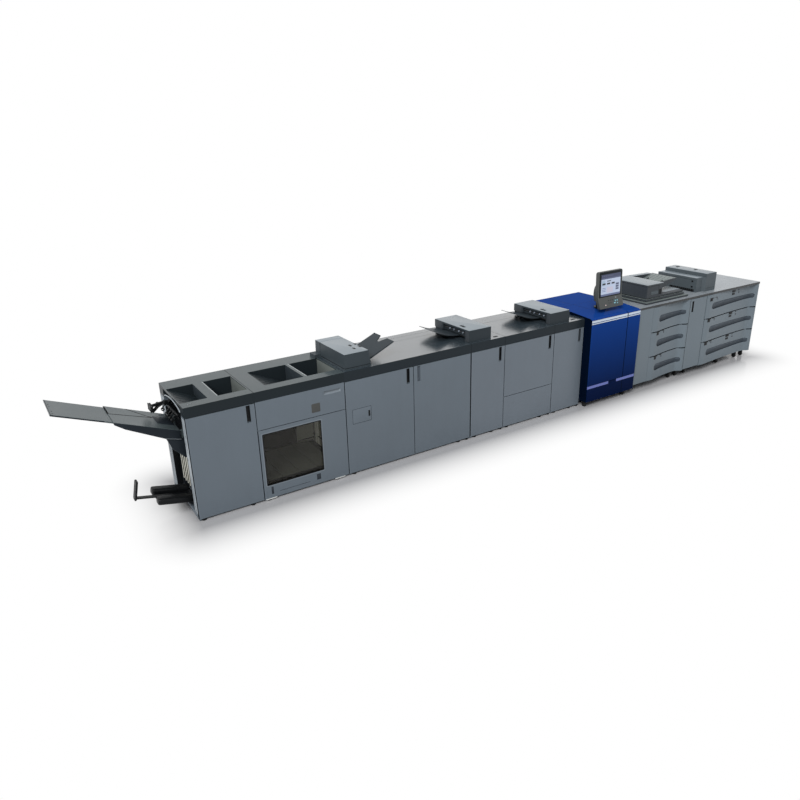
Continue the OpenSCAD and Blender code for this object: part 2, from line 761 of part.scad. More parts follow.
module drawer_bays(bay) {
  difference() {
    children();
    for (i = [0 : 2]) bay_space(bay, i);
  }
  for (i = [0 : 2]) bay_rails(bay, i);
}

// How far a drawer front is set back at a distance from its left end: a ridge, then a long fall to the
// deepest place, then a short smooth return
function front_depth(d, w) =
  d < ridge_at ? -drawer_ridge * sin(90 * max(0, d - 12) / (ridge_at - 12))
  : d < w - return_from ? -drawer_ridge + (drawer_dish + drawer_ridge) * sin(90 * (d - ridge_at) / (w - return_from - ridge_at))
  : drawer_dish * (1 + cos(180 * min(1, (d - w + return_from) / (return_from - 12)))) / 2;
ridge_at = 90;
return_from = 112;
front_steps = 28;
grip_left_radius = 44;
grip_right_radius = 29;
grip_scoop = 20;

function front_line(x0, x1, inset) =
  [for (i = [0 : front_steps]) let (d = (x1 - x0) * i / front_steps)
    [x0 + d, feed_face + inset + front_depth(d, x1 - x0)]];

function front_plan(x0, x1) =
  concat(front_line(x0, x1, 0), [[x1, feed_face + drawer_front], [x0, feed_face + drawer_front]]);

// The finger scoop follows the front, a little deeper, inside an outline with a large left and a small
// right end
module grip_scoop_shape(x0, x1, z) {
  left = x0 + 114 + grip_left_radius;
  right = x1 - 44 - grip_right_radius;
  lean = asin((grip_left_radius - grip_right_radius) / (right - left));
  intersection() {
    translate([0, 0, z - grip_left_radius - cut]) linear_extrude(2 * (grip_left_radius + cut))
      polygon(concat(front_line(x0, x1, grip_scoop), [[x1, feed_face - 40], [x0, feed_face - 40]]));
    translate([0, feed_face + drawer_front, z]) rotate([90, 0, 0]) union() {
      translate([left, 0, 0]) cylinder(r = grip_left_radius, h = 2 * drawer_front, $fn = 64);
      translate([right, 0, 0]) cylinder(r = grip_right_radius, h = 2 * drawer_front, $fn = 64);
      linear_extrude(2 * drawer_front)
        polygon([[left + grip_left_radius * sin(lean), grip_left_radius * cos(lean)],
                 [right + grip_right_radius * sin(lean), grip_right_radius * cos(lean)],
                 [right + grip_right_radius * sin(lean), -grip_right_radius * cos(lean)],
                 [left + grip_left_radius * sin(lean), -grip_left_radius * cos(lean)]]);
    }
  }
}

// A drawer: sculpted front with a long grip, and a tub on the bay's rails
module drawer(bay, i) {
  x0 = bay[0] + edge_gap;
  x1 = bay[1] - edge_gap;
  z0 = drawer_floor[i] + (i == 0 ? 0 : edge_gap);
  z1 = drawer_floor[i + 1] - edge_gap;
  tub_z = drawer_floor[i] + bay_wall / 2 + rail_height + slide_clearance;
  tub_top = drawer_floor[i + 1] - bay_wall / 2 - 30;
  tub_x0 = bay[0] + bay_wall + door_gap;
  tub_x1 = bay[1] - bay_wall - door_gap;
  difference() {
    translate([0, 0, z0]) linear_extrude(z1 - z0) polygon(front_plan(x0, x1));
    grip_scoop_shape(x0, x1, (z0 + z1) / 2);
  }
  difference() {
    block(tub_x0, tub_x1, feed_face + drawer_front - cut, bay_front + drawer_depth, tub_z, tub_top);
    block(tub_x0 + drawer_wall, tub_x1 - drawer_wall, bay_front, bay_front + drawer_depth - drawer_wall,
          tub_z + drawer_wall, tub_top + cut);
  }
}

module feed_a_cabinet() color(finish) at_origin() {
  drawer_bays(feed_a_bay) {
    union() {
      block(feed_a_x, feed_b_x - dock_gap, bay_front, feed_back, feed_bottom, feed_top_z);
      block(feed_a_x, feed_a_bay[0], feed_face, bay_front + cut, feed_bottom, feed_top_z);
      block(feed_a_bay[1], feed_b_x - dock_gap, feed_face + door_thickness + door_gap, bay_front + cut,
            feed_bottom, feed_top_z);
      hinge_bracket(feed_pin, feed_face + half_door, feed_bottom, 40);
    }
  }
}

module feed_b_cabinet() color(finish) at_origin() drawer_bays(feed_b_bay)
  block(feed_b_x, line_end, bay_front, feed_back, feed_bottom, feed_top_z);

module feed_a_door() color(finish) at_origin() difference() {
  swing_door(feed_door_span[0], feed_door_span[1], feed_door_bottom, feed_top_z - door_gap, feed_face, -1);
  block(feed_door_span[0] + 32, feed_door_span[0] + 67, feed_face - cut, feed_face + grip_depth,
        feed_top_z - 173, feed_top_z - 33);
}

module feed_a_drawer_1() color(finish) at_origin() drawer(feed_a_bay, 2);
module feed_a_drawer_2() color(finish) at_origin() drawer(feed_a_bay, 1);
module feed_a_drawer_3() color(finish) at_origin() drawer(feed_a_bay, 0);
module feed_b_drawer_1() color(finish) at_origin() drawer(feed_b_bay, 2);
module feed_b_drawer_2() color(finish) at_origin() drawer(feed_b_bay, 1);
module feed_b_drawer_3() color(finish) at_origin() drawer(feed_b_bay, 0);

module feed_tops() color(pale) at_origin() difference() {
  union() {
    block(feed_a_x, feed_b_x - dock_gap, feed_face, feed_back, feed_top_z, feed_height);
    block(feed_b_x, line_end + plate_overhang, feed_face, feed_back, feed_top_z, feed_height);
  }
  pin_bore(feed_pin, feed_face + half_door, feed_top_z - cut, bore_depth + cut);
}

// ---- Scanner, document feeder and bypass unit ----
scanner_left = feed_a_x + 207;
scanner_width = 778;
scanner_right = scanner_left + scanner_width;
scanner_front = -19;
scanner_back = 660;
scanner_base_height = 20;
scanner_groove = 6;
scanner_step = 38;
scanner_top = feed_height + 50;
feeder_left = feed_a_x + 258;
feeder_split = feeder_left + 270;
feeder_width = 682;
feeder_right = feeder_left + feeder_width;
feeder_front = 26;
feeder_back = 574;
feeder_gap = 9;
feeder_bottom = scanner_top + feeder_gap;
feeder_top = feeder_bottom + 160;
feeder_pin_y = feeder_back + 26;
feeder_pin_z = scanner_top + 22;
ear_half = 14;
ear_thickness = 30;
ear_pitch = 100;
ear_starts = [feeder_left + 40, feeder_right - 190];
paper_tray_front = 130;
paper_tray_back = 500;
paper_tray_low = feeder_bottom + 50;
paper_tray_length = 397;
paper_tray_end = feeder_split + paper_tray_length;
tray_lip = 14;
tray_sheet = 14;

module scanner_base() color(dark) at_origin() difference() {
  union() {
    block(scanner_left, scanner_right, scanner_front, scanner_back, feed_height, feed_height + scanner_base_height);
    block(scanner_left + scanner_step + 8, scanner_right - scanner_step - 8, scanner_front + scanner_step + 8,
          scanner_back - 8, feed_height + scanner_base_height - cut,
          feed_height + scanner_base_height + scanner_groove + cut);
    block(scanner_left + scanner_step, scanner_right - scanner_step, scanner_front + scanner_step, scanner_back,
          feed_height + scanner_base_height + scanner_groove, scanner_top);
    for (x = ear_starts, i = [0, 1]) {
      block(x + i * ear_pitch, x + i * ear_pitch + ear_thickness, feeder_pin_y - ear_half,
            feeder_pin_y + ear_half, scanner_top - cut, feeder_pin_z + ear_half);
    }
  }
  for (x = ear_starts) {
    translate([x - cut, feeder_pin_y, feeder_pin_z]) rotate([0, 90, 0])
      cylinder(r = bore_radius, h = ear_pitch + ear_thickness + 2 * cut, $fn = 48);
  }
}

// The feeder: a block over the rollers, the platen cover's plate, and a paper tray that rises to the right
// between a low lip and a tall rear rail
module document_feeder() color(dark) at_origin() {
  tray_top = feeder_top - 4;
  block(feeder_left, feeder_split, feeder_front, feeder_back, feeder_bottom, feeder_top);
  block(feeder_split - cut, feeder_right, feeder_front, feeder_back, feeder_bottom, feeder_bottom + 16);
  side_profile([[feeder_split - cut, paper_tray_low - tray_sheet], [feeder_split - cut, paper_tray_low],
                [paper_tray_end, tray_top], [paper_tray_end, tray_top - tray_sheet]],
               paper_tray_front, paper_tray_back + cut);
  side_profile([[feeder_split - cut, paper_tray_low - tray_sheet], [feeder_split - cut, feeder_top - 26],
                [feeder_split + 280, tray_top], [paper_tray_end - 40, tray_top], [paper_tray_end - 40, tray_top - tray_sheet - 8]],
               paper_tray_front - tray_lip, paper_tray_front + cut);
  side_profile([[feeder_split - cut, feeder_bottom], [feeder_split - cut, feeder_top],
                [paper_tray_end, feeder_top - 10], [paper_tray_end, tray_top - 40], [feeder_right - 60, feeder_bottom]],
               paper_tray_back, feeder_back);
  for (x = ear_starts) {
    translate([x + 2, feeder_pin_y, feeder_pin_z]) rotate([0, 90, 0])
      cylinder(r = pin_radius, h = ear_pitch + ear_thickness - 4, $fn = 48);
    block(x + ear_thickness + 5, x + ear_pitch - 5, feeder_back - cut, feeder_pin_y + 8, feeder_pin_z - 8,
          feeder_pin_z + 8);
  }
}

bypass_left = feed_b_x - 84;
bypass_width = 336;
bypass_step = 138;
bypass_low = 180;
bypass_high = 225;
bypass_front = 36;
bypass_jut = 37;
bypass_back = 620;

// The bypass unit: a low box on the left and a taller one that stands forward, with a canted corner between
module bypass_unit() color(dark) at_origin() {
  low_end = bypass_left + bypass_step;
  right = bypass_left + bypass_width;
  translate([0, 0, feed_height]) linear_extrude(bypass_low)
    polygon([[bypass_left, bypass_front], [low_end - 30, bypass_front], [low_end, bypass_front - bypass_jut],
             [right, bypass_front - bypass_jut], [right, bypass_back], [bypass_left, bypass_back]]);
  block(low_end, right, bypass_front - bypass_jut, bypass_back, feed_height + bypass_low - cut,
        feed_height + bypass_high);
}

// ---- Feet and casters ----
foot_radius = 22;

front_foot_y = 16;
// Each module's first foot, from its left end, and its front right feet, from its right end
first_feet = [46, 46, 60, 60, 60, 60];
right_feet = [[106], [126], [155, 48], [155, 30], [155, 30], [155, 30]];

module foot(x, y) translate([x, y, 0]) cylinder(r = foot_radius, h = foot_height, $fn = 48);

module feet() color(black) at_origin() {
  starts = [0, stacker_x, binder_x, relay_a_x, folder_x, relay_b_x];
  ends = [stacker_x, binder_x, relay_a_x, folder_x, relay_b_x, engine_x];
  for (i = [0 : 5]) {
    foot(starts[i] + first_feet[i], front_foot_y);
    for (x = right_feet[i]) foot(ends[i] - x, front_foot_y);
    for (x = [starts[i] + 60, ends[i] - 60]) foot(x, unit_depth - 50);
  }
}

module caster(x, y, top) {
  translate([x - 11, y, caster_radius]) rotate([0, 90, 0]) cylinder(r = caster_radius, h = 22, $fn = 64);
  block(x - 16, x + 16, y - 22, y + 22, 2 * caster_radius - 10, top);
}

caster_row = feed_face + 96;
caster_starts = [feed_b_x - 479, feed_b_x - 344, feed_b_x - 172, line_end - 598, line_end - 186, line_end - 36];

module casters() color(black) at_origin() {
  for (x = [engine_x + 28, feed_a_x - 130], y = [engine_core + 50, engine_back - 80]) caster(x, y, engine_bottom);
  for (x = caster_starts) caster(x, caster_row, feed_bottom);
  caster(feed_a_x + 120, caster_row + 180, feed_bottom);
  for (x = [feed_a_x + 120, feed_b_x - 172, feed_b_x + 200, line_end - 36]) caster(x, feed_back - 90, feed_bottom);
}

finisher_cabinet();
finisher_top();
finisher_door();
end_grille();
output_tray();
tray_extension();
paper_stop_arm();
booklet_tray();
booklet_stop();
stacker_cabinet();
stacker_top();
stacker_upper_panel();
stacker_door();
stacker_window();
stacker_platform();
binder_cabinet();
binder_door_left();
binder_door_right();
relay_a_cabinet();
relay_a_door();
folder_cabinet();
folder_door();
folder_lower_panel();
relay_b_cabinet();
relay_b_door();
cabinet_tops();
inserter_1();
inserter_2();
inserter_3();
inserter_trays();
engine_cabinet();
engine_door();
engine_trim();
panel_arm();
operator_panel();
feed_a_cabinet();
feed_a_drawer_1();
feed_a_drawer_2();
feed_a_drawer_3();
feed_a_door();
feed_b_cabinet();
feed_b_drawer_1();
feed_b_drawer_2();
feed_b_drawer_3();
feed_tops();
scanner_base();
document_feeder();
bypass_unit();
feet();
casters();
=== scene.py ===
import json
import math

import bmesh
import bpy
import numpy as np
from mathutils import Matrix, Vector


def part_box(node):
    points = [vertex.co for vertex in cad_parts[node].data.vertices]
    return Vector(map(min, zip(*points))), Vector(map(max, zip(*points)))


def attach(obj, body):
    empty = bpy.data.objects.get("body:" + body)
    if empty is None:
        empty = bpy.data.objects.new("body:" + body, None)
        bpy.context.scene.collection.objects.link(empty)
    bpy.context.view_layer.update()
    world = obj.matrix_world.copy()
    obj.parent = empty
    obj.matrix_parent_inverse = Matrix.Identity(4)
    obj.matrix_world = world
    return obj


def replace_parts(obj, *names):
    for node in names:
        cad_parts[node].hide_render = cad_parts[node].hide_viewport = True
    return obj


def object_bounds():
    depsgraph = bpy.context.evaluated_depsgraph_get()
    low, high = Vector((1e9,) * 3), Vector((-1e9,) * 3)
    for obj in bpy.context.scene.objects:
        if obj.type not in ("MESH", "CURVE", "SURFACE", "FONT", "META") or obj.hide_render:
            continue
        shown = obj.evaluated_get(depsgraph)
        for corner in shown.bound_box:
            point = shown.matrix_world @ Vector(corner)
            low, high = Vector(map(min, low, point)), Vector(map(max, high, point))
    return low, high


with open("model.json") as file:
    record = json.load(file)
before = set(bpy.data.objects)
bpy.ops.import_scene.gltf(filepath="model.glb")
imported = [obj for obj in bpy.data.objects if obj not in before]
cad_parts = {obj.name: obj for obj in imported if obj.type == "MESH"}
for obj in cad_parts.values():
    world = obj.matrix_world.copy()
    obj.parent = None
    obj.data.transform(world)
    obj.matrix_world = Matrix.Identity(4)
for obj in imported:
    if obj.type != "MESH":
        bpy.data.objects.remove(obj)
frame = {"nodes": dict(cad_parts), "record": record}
nodes = frame["nodes"]
cadBox = [list(corner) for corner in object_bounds()]
print("frame loaded:", len(nodes), "nodes")


# A Wire is one socket of a node tree; sums, products and comparisons of wires add Math nodes
class Wire:
    def __init__(self, tree, socket):
        self.tree = tree
        self.socket = socket

    # adds any node: its settings first, then its inputs by name or number; gives one output
    def node(self, kind, inputs=None, out=0, **settings):
        made = self.tree.nodes.new(kind)
        for key, value in settings.items():
            setattr(made, key, value)
        for key, value in (inputs or {}).items():
            if isinstance(value, Wire):
                self.tree.links.new(value.socket, made.inputs[key])
            else:
                made.inputs[key].default_value = value
        return Wire(self.tree, made.outputs[out])

    def maths(self, operation, *values):
        return self.node("ShaderNodeMath", dict(enumerate(values)), operation=operation)

    __add__ = __radd__ = lambda self, other: self.maths("ADD", self, other)
    __sub__ = lambda self, other: self.maths("SUBTRACT", self, other)
    __rsub__ = lambda self, other: self.maths("SUBTRACT", other, self)
    __mul__ = __rmul__ = lambda self, other: self.maths("MULTIPLY", self, other)
    __truediv__ = lambda self, other: self.maths("DIVIDE", self, other)
    __lt__ = lambda self, other: self.maths("LESS_THAN", self, other)
    __gt__ = lambda self, other: self.maths("GREATER_THAN", self, other)

    def within(self, start, end):  # 1 between two values, else 0
        return (self > start) * (self < end)

    def fract(self):
        return self.maths("FRACT", self)

    def noise(self, scale, detail=2.0, roughness=0.5):  # soft clouds, 0 to 1, with cells of 1 / scale metres
        inputs = {"Vector": self, "Scale": scale, "Detail": detail, "Roughness": roughness}
        return self.node("ShaderNodeTexNoise", inputs)

    def stretched(self, x, y, z):  # the same coordinates, scaled along each axis
        return self.node("ShaderNodeVectorMath", {0: self, 1: (x, y, z)}, operation="MULTIPLY")

    def axis(self, index):  # one coordinate of a vector
        return self.node("ShaderNodeSeparateXYZ", {0: self}, out=index)

    # runs from start to end while the wire goes from low to high
    def ramp(self, low, high, start=0.0, end=1.0):
        return self.node("ShaderNodeMapRange", {0: self, 1: low, 2: high, 3: start, 4: end})

    def mix(self, first, second):  # two colours, blended by this wire
        return self.node("ShaderNodeMix", {0: self, 6: first, 7: second}, out=2, data_type="RGBA")

    def bump(self, strength, distance):
        return self.node("ShaderNodeBump", {"Height": self, "Strength": strength, "Distance": distance})


# a display colour, 0 to 255, as the linear colour that a shader takes
def tint(colour, shade=1.0):
    linear = [(c / 255 / 12.92 if c < 10.3 else ((c / 255 + 0.055) / 1.055) ** 2.4) * shade for c in colour]
    return (*linear, 1.0)


# starts a material and sets what is the same all over it; gives the material, its shader and its coordinates
def startMaterial(name, **fixed):
    material = bpy.data.materials.new(name)
    material.use_nodes = True
    tree = material.node_tree
    shader = tree.nodes["Principled BSDF"]
    for key, value in fixed.items():
        shader.inputs[key.replace("_", " ")].default_value = value
    return material, shader, Wire(tree, tree.nodes.new("ShaderNodeTexCoord").outputs["Object"])


def feed(shader, **wires):
    for key, wire in wires.items():
        wire.tree.links.new(wire.socket, shader.inputs[key.replace("_", " ")])


# limits, in metres, between the finishes on one piece
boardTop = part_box("feed_tops")[1][2]
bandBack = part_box("cabinet_tops")[0][1] + 0.0008
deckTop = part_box("cabinet_tops")[1][2]
endLeft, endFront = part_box("finisher_top")[0][:2]
recessBox = (endLeft, endFront + 0.0955, 0.0605), (endLeft + 0.0905, endFront + 0.6115, 0.9485)
(engineLeft, _, _), (engineRight, _, _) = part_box("engine_cabinet")
doorEdge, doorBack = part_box("engine_door")[1][:2]


# powder-coated sheet: slow tone drift over a panel, faint wipe marks, and the coat's orange peel
def paintedSheet(name, look):
    material, shader, place = startMaterial(name, Specular_IOR_Level=look["sheen"])
    plain = look["colour"]
    drift, peel, speck = place.noise(0.9, 3.0), place.noise(look["peelScale"]), place.noise(2600.0, 1.0)
    wipes = place.stretched(1.0, 1.0, 0.18).noise(14.0, 4.0, 0.6)
    tone = drift * 0.6 + wipes * 0.25 + speck * 0.15
    colour = tone.ramp(0.35, 0.65).mix(tint(plain, 0.93), tint(plain, 1.07))
    z = place.axis(2)
    if "footShade" in look:  # painted shade: a little darker towards the floor
        colour = z.ramp(0.0, 0.9, look["footShade"], 0.0).mix(colour, tint(plain, 0.6))
    if "edgeColour" in look:  # a top board's sides
        colour = (z < boardTop - 0.0008).mix(colour, tint(look["edgeColour"]))
    if "recessColour" in look:  # painted shade on the inside of the opening in the left end
        (_, y0, z0), (x1, y1, z1) = recessBox
        inside = (place.axis(0) < x1) * place.axis(1).within(y0, y1) * z.within(z0, z1)
        colour = inside.mix(colour, tint(look["recessColour"]))
    if "glow" in look:  # painted light: a faint glow of the base colour, though there is no lamp inside the chamber
        shader.inputs["Emission Strength"].default_value = look["glow"]
        feed(shader, Emission_Color=colour)
    if "gripShade" in look:  # painted shade in a drawer's long grip: dark below its middle, lighter above
        fall = (((z - look["gripMiddle"]) / look["gripPitch"] + 10.5).fract() - 0.5) * look["gripPitch"]
        colour = fall.ramp(-0.036, 0.036).mix(tint(look["gripShade"]), colour)
    feed(shader, Base_Color=colour,
         Roughness=wipes.ramp(0.3, 0.7, look["roughness"] - 0.05, look["roughness"] + 0.07),
         Normal=(peel + speck * 0.25).bump(look["peel"], 0.0004))
    return material


# moulded plastic: spark-eroded grain of two sizes, with a slightly uneven tone
def mouldedPlastic(name, look):
    material, shader, place = startMaterial(
        name, Specular_IOR_Level=look["sheen"], Coat_Roughness=look.get("coatRoughness", 0.1),
        Coat_IOR=look.get("coatIor", 1.5))
    drift, fine = place.noise(2.2, 3.0), place.noise(look["grainScale"] * 2.3)
    grain = place.node("ShaderNodeTexVoronoi", {"Vector": place, "Scale": look["grainScale"]},
                       distance="EUCLIDEAN")
    tone = (drift * 0.7 + fine * 0.3).ramp(0.35, 0.65)
    colour = tone.mix(tint(look["colour"], 0.92), tint(look["colour"], 1.09))
    z = place.axis(2)
    if "footColour" in look:  # the lower of two rows of strips, painted darker and bluer as painted shade, and two lines along the upper row
        colour = (z < 0.6).mix(colour, tint(look["footColour"]))
        colour = (z.within(1.001, 1.0095) + (z > 1.0345)).mix(colour, tint(look["lineColour"]))
    if "bandColour" in look:  # painted shade: a deck's front band and pockets darker than its upper face, which alone has the clear coat
        face = (place.axis(1) > bandBack) * (z > deckTop - 0.0015)
        colour = face.mix(tint(look["bandColour"]), colour)
        feed(shader, Coat_Weight=face * look["coat"])
    feed(shader, Base_Color=colour,
         Roughness=drift.ramp(0.3, 0.7, look["roughness"] - 0.04, look["roughness"] + 0.06),
         Normal=(grain * 0.7 + fine * 0.6).bump(look["grain"], 0.0003))
    return material


# glossy lacquered cover under a clear coat, painted darker towards the floor as painted shade
def glossLacquer(name, look):
    material, shader, place = startMaterial(name, Specular_IOR_Level=0.0, Coat_Weight=look["coat"],
                                            Coat_Roughness=0.06)
    x = place.axis(0)
    wave, dust = place.noise(5.0), place.noise(900.0)
    height = place.axis(2).ramp(look["low"], look["high"]) + (wave - 0.5) * 0.08
    colour = height.mix(tint(look["lowColour"]), tint(look["highColour"]))
    side = (x < engineLeft + 0.0008) + (x > engineRight - 0.0008)
    # a line beside the door
    side = side + x.within(doorEdge - 0.0005, doorEdge + 0.0095) * (place.axis(1) < doorBack + 0.01)
    feed(shader, Base_Color=side.mix(colour, tint((4, 14, 32))), Roughness=wave.ramp(0.3, 0.7, 0.31, 0.39),
         Normal=(wave * 1.2 + dust * 0.05).bump(0.12, 0.0012))
    return material


# a lit display with a plain made-up layout: a dark head, rows of blank tiles, a side column and a foot bar
def litDisplay(name, look):
    material, shader, place = startMaterial(name, Roughness=0.08, Base_Color=(0.02, 0.02, 0.02, 1.0),
                                            Emission_Strength=look["glow"])
    low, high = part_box("operator_panel")
    x = place.axis(0).ramp(low[0] + 0.042, high[0] - 0.03)
    z = place.axis(2).ramp(high[2] - 0.278, high[2] - 0.034)

    def cells(value, count, share):  # 1 inside each of a row of equal cells
        return (value * count).fract() < share

    colour = place.noise(3.0).ramp(0.3, 0.7).mix(tint(look["ground"], 0.96), tint(look["ground"], 1.04))
    for mask, tone, shade in (
            (z > 0.78, "head", 1.0),
            (z.within(0.8, 0.835), "side", 1.3),
            (z.within(0.9, 0.95) * x.within(0.04, 0.62) * cells(x, 9.0, 0.7), "side", 1.0),
            (z.within(0.48, 0.72) * x.within(0.04, 0.2), "pane", 1.0),
            (z.within(0.52, 0.6) * cells(x - 0.06, 4.2, 0.7) * x.within(0.06, 0.7), "tile", 1.0),
            (z.within(0.66, 0.7) * x.within(0.3, 0.5), "tile", 1.0),
            (z.within(0.2, 0.56) * x.within(0.76, 0.92) * cells(z, 9.0, 0.8), "side", 1.0),
            (z.within(0.14, 0.4) * x.within(0.3, 0.62), "blush", 1.0),
            (z.within(0.2, 0.4) * x.within(0.06, 0.24) * cells(z, 14.0, 0.35), "side", 2.2),
            (z < 0.09, "side", 1.6)):
        colour = mask.mix(colour, tint(look[tone], shade))
    feed(shader, Emission_Color=colour)
    return material


# smoked glass: a tinted clear pane with faint dust and wipe marks
def smokedPane(name, look):
    material, shader, place = startMaterial(name, Roughness=0.04, Specular_IOR_Level=0.5)
    dust = place.stretched(1.0, 1.0, 0.4).noise(30.0, 4.0, 0.65)
    feed(shader, Base_Color=dust.ramp(0.4, 0.75).mix(tint(look["colour"]), tint(look["dust"])),
         Alpha=dust.ramp(0.35, 0.8, look["alpha"], look["alpha"] + 0.06))
    return material


# rubber: dull, with rubbed lighter patches and a coarse skin
def dullRubber(name, look):
    material, shader, place = startMaterial(name, Specular_IOR_Level=0.25)
    rub = place.noise(60.0, 4.0, 0.6)
    feed(shader, Base_Color=rub.ramp(0.4, 0.75).mix(tint(look["colour"]), tint(look["rubbed"])),
         Roughness=rub.ramp(0.3, 0.7, 0.62, 0.8), Normal=place.noise(1200.0).bump(0.3, 0.0003))
    return material


# each row: colour, roughness, sheen, depth and scale of the peel, and what else that paint needs
paints = {
    "panelPaint": ((103, 113, 122), 0.42, 0.3, 0.22, 520.0, {"footShade": 0.2}),
    "finisherPaint": ((100, 110, 119), 0.42, 0.3, 0.22, 520.0,
                      {"footShade": 0.2, "recessColour": (26, 30, 34)}),
    "relayPaint": ((108, 117, 126), 0.42, 0.3, 0.22, 520.0, {"footShade": 0.2}),
    "feedPaint": ((107, 118, 126), 0.42, 0.3, 0.22, 520.0, {"footShade": 0.25}),
    "framePaint": ((152, 160, 166), 0.4, 0.4, 0.2, 520.0),
    "surroundPaint": ((118, 127, 135), 0.4, 0.4, 0.2, 520.0),
    "backPaint": ((88, 95, 102), 0.5, 0.3, 0.3, 420.0),
    "gripDark": ((90, 100, 110), 0.5, 0.2, 0.2, 520.0,
                 {"gripShade": (22, 30, 38), "gripMiddle": 0.244, "gripPitch": 0.3095}),
    "gripGrey": ((70, 78, 86), 0.45, 0.3, 0.2, 520.0),
    "slotGrey": ((40, 46, 53), 0.5, 0.3, 0.2, 520.0),
    "chamberDark": ((48, 47, 42), 0.6, 0.2, 0.2, 300.0),
    "chamberPale": ((160, 162, 148), 0.55, 0.25, 0.2, 300.0, {"glow": 0.1}),
    "chamberBoard": ((96, 98, 88), 0.55, 0.25, 0.2, 300.0, {"glow": 0.05}),
    "chamberPost": ((206, 207, 192), 0.4, 0.4, 0.15, 300.0, {"glow": 0.12}),
    "creamPaint": ((224, 224, 212), 0.45, 0.3, 0.15, 400.0),
    "topLaminate": ((140, 147, 153), 0.3, 0.5, 0.12, 600.0, {"edgeColour": (14, 20, 26)}),
    "darkMetal": ((40, 42, 45), 0.42, 0.45, 0.2, 600.0),
    "steel": ((190, 192, 190), 0.25, 0.5, 0.1, 700.0),
}
# each row: colour, roughness, sheen, depth and scale of the grain, and what else that plastic needs
plastics = {
    "coverPlastic": ((66, 76, 79), 0.34, 0.1, 0.2, 1500.0, {"bandColour": (36, 43, 47), "coat": 0.35}),
    "deckPlastic": ((52, 62, 69), 0.34, 0.1, 0.2, 1500.0,
                    {"bandColour": (39, 46, 51), "coat": 1.0, "coatIor": 2.4, "coatRoughness": 0.2}),
    "unitPlastic": ((49, 56, 61), 0.4, 0.12, 0.22, 1500.0),
    "inserterPlastic": ((60, 68, 73), 0.4, 0.12, 0.22, 1500.0),
    "trimPlastic": ((206, 218, 232), 0.3, 0.4, 0.12, 1600.0,
                    {"footColour": (98, 110, 178), "lineColour": (24, 48, 108)}),
    "bypassPlastic": ((80, 88, 93), 0.4, 0.15, 0.22, 1500.0),
    "lidGrey": ((128, 138, 145), 0.3, 0.5, 0.15, 1500.0),
    "capGrey": ((150, 156, 158), 0.35, 0.4, 0.15, 1500.0),
    "liningGrey": ((110, 116, 113), 0.4, 0.4, 0.2, 1500.0),
    "trayPlastic": ((76, 86, 89), 0.36, 0.4, 0.22, 1400.0),
    "traySide": ((36, 42, 48), 0.42, 0.1, 0.22, 1400.0),
    "blackPlastic": ((17, 19, 21), 0.42, 0.15, 0.3, 1300.0),
    "seamBlack": ((10, 11, 13), 0.7, 0.05, 0.2, 1300.0),
    "scannerPlastic": ((57, 62, 67), 0.38, 0.2, 0.22, 1500.0),
    "frameGloss": ((17, 24, 28), 0.3, 0.15, 0.05, 1500.0),
    "ledgeGrey": ((116, 125, 124), 0.36, 0.3, 0.15, 1500.0),
    "screenPlastic": ((70, 73, 72), 0.38, 0.4, 0.2, 1500.0),
    "palePlastic": ((172, 184, 200), 0.3, 0.5, 0.12, 1600.0),
    "keyCyan": ((126, 182, 196), 0.3, 0.5, 0.1, 1400.0),
    "keyRose": ((214, 190, 186), 0.3, 0.5, 0.1, 1400.0),
    "keyField": ((58, 70, 72), 0.36, 0.4, 0.15, 1400.0),
    "blankBrown": ((72, 73, 72), 0.45, 0.3, 0.2, 1400.0),
}
others = {
    "blueGloss": (glossLacquer, {"lowColour": (7, 25, 64), "highColour": (22, 62, 136), "low": 0.15,
                                 "high": 1.06, "coat": 0.05}),
    "deepBlue": (glossLacquer, {"lowColour": (8, 22, 56), "highColour": (12, 32, 72), "low": 0.1,
                                "high": 1.05, "coat": 0.04}),
    "displayPicture": (litDisplay, {"ground": (186, 200, 226), "head": (44, 56, 92), "tile": (26, 32, 48),
                                    "side": (70, 80, 112),
                                    "pane": (160, 184, 206), "blush": (196, 194, 214), "glow": 0.85}),
    "smokedGlass": (smokedPane, {"colour": (30, 29, 24), "dust": (46, 44, 39), "alpha": 0.3}),
    "blackRubber": (dullRubber, {"colour": (14, 14, 15), "rubbed": (38, 38, 39)}),
}

finishes = {name: make(name, look) for name, (make, look) in others.items()}
for table, make, depth in ((paints, paintedSheet, "peel"), (plastics, mouldedPlastic, "grain")):
    keys = "colour", "roughness", "sheen", depth, f"{depth}Scale"
    for name, row in table.items():
        more = row[-1] if len(row) > len(keys) else {}
        finishes[name] = make(name, {**dict(zip(keys, row)), **more})


# a slot's own finish has the slot's name in camel case
def slotFinish(slot):
    first, second = slot.split("_")
    return finishes[first + second.title()]


nodeFinish = {
    "inserter_1": "inserterPlastic", "inserter_2": "unitPlastic", "inserter_3": "unitPlastic",
    "inserter_trays": "unitPlastic",
    "cabinet_tops": "deckPlastic", "finisher_cabinet": "finisherPaint", "bypass_unit": "bypassPlastic",
    # the end grille is black as painted shade in the recess, behind the cream ribs that stand on it
    "engine_trim": "trimPlastic", "end_grille": "seamBlack", "relay_a_door": "relayPaint",
    "folder_door": "relayPaint",
    "folder_lower_panel": "relayPaint", "relay_b_door": "relayPaint", "relay_a_cabinet": "relayPaint",
    "folder_cabinet": "relayPaint", "relay_b_cabinet": "relayPaint",
}
for part in frame["record"]["subparts"]:
    slots = nodes[part["node"]].data.materials
    slots.clear()
    slots.append(finishes[nodeFinish[part["node"]]] if part["node"] in nodeFinish
                 else slotFinish(part["material_slot"]))
print("finishes set")

rowLeft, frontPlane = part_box("finisher_door")[0][0] - 0.003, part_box("finisher_door")[0][1]
across, backward, upward = np.eye(3)
leftward = -backward  # on a left face, along runs towards the operator
onFront, onTop = (across, upward), (across, backward)
onLeft, onRight, onBack = (leftward, upward), (backward, upward), (-across, upward)


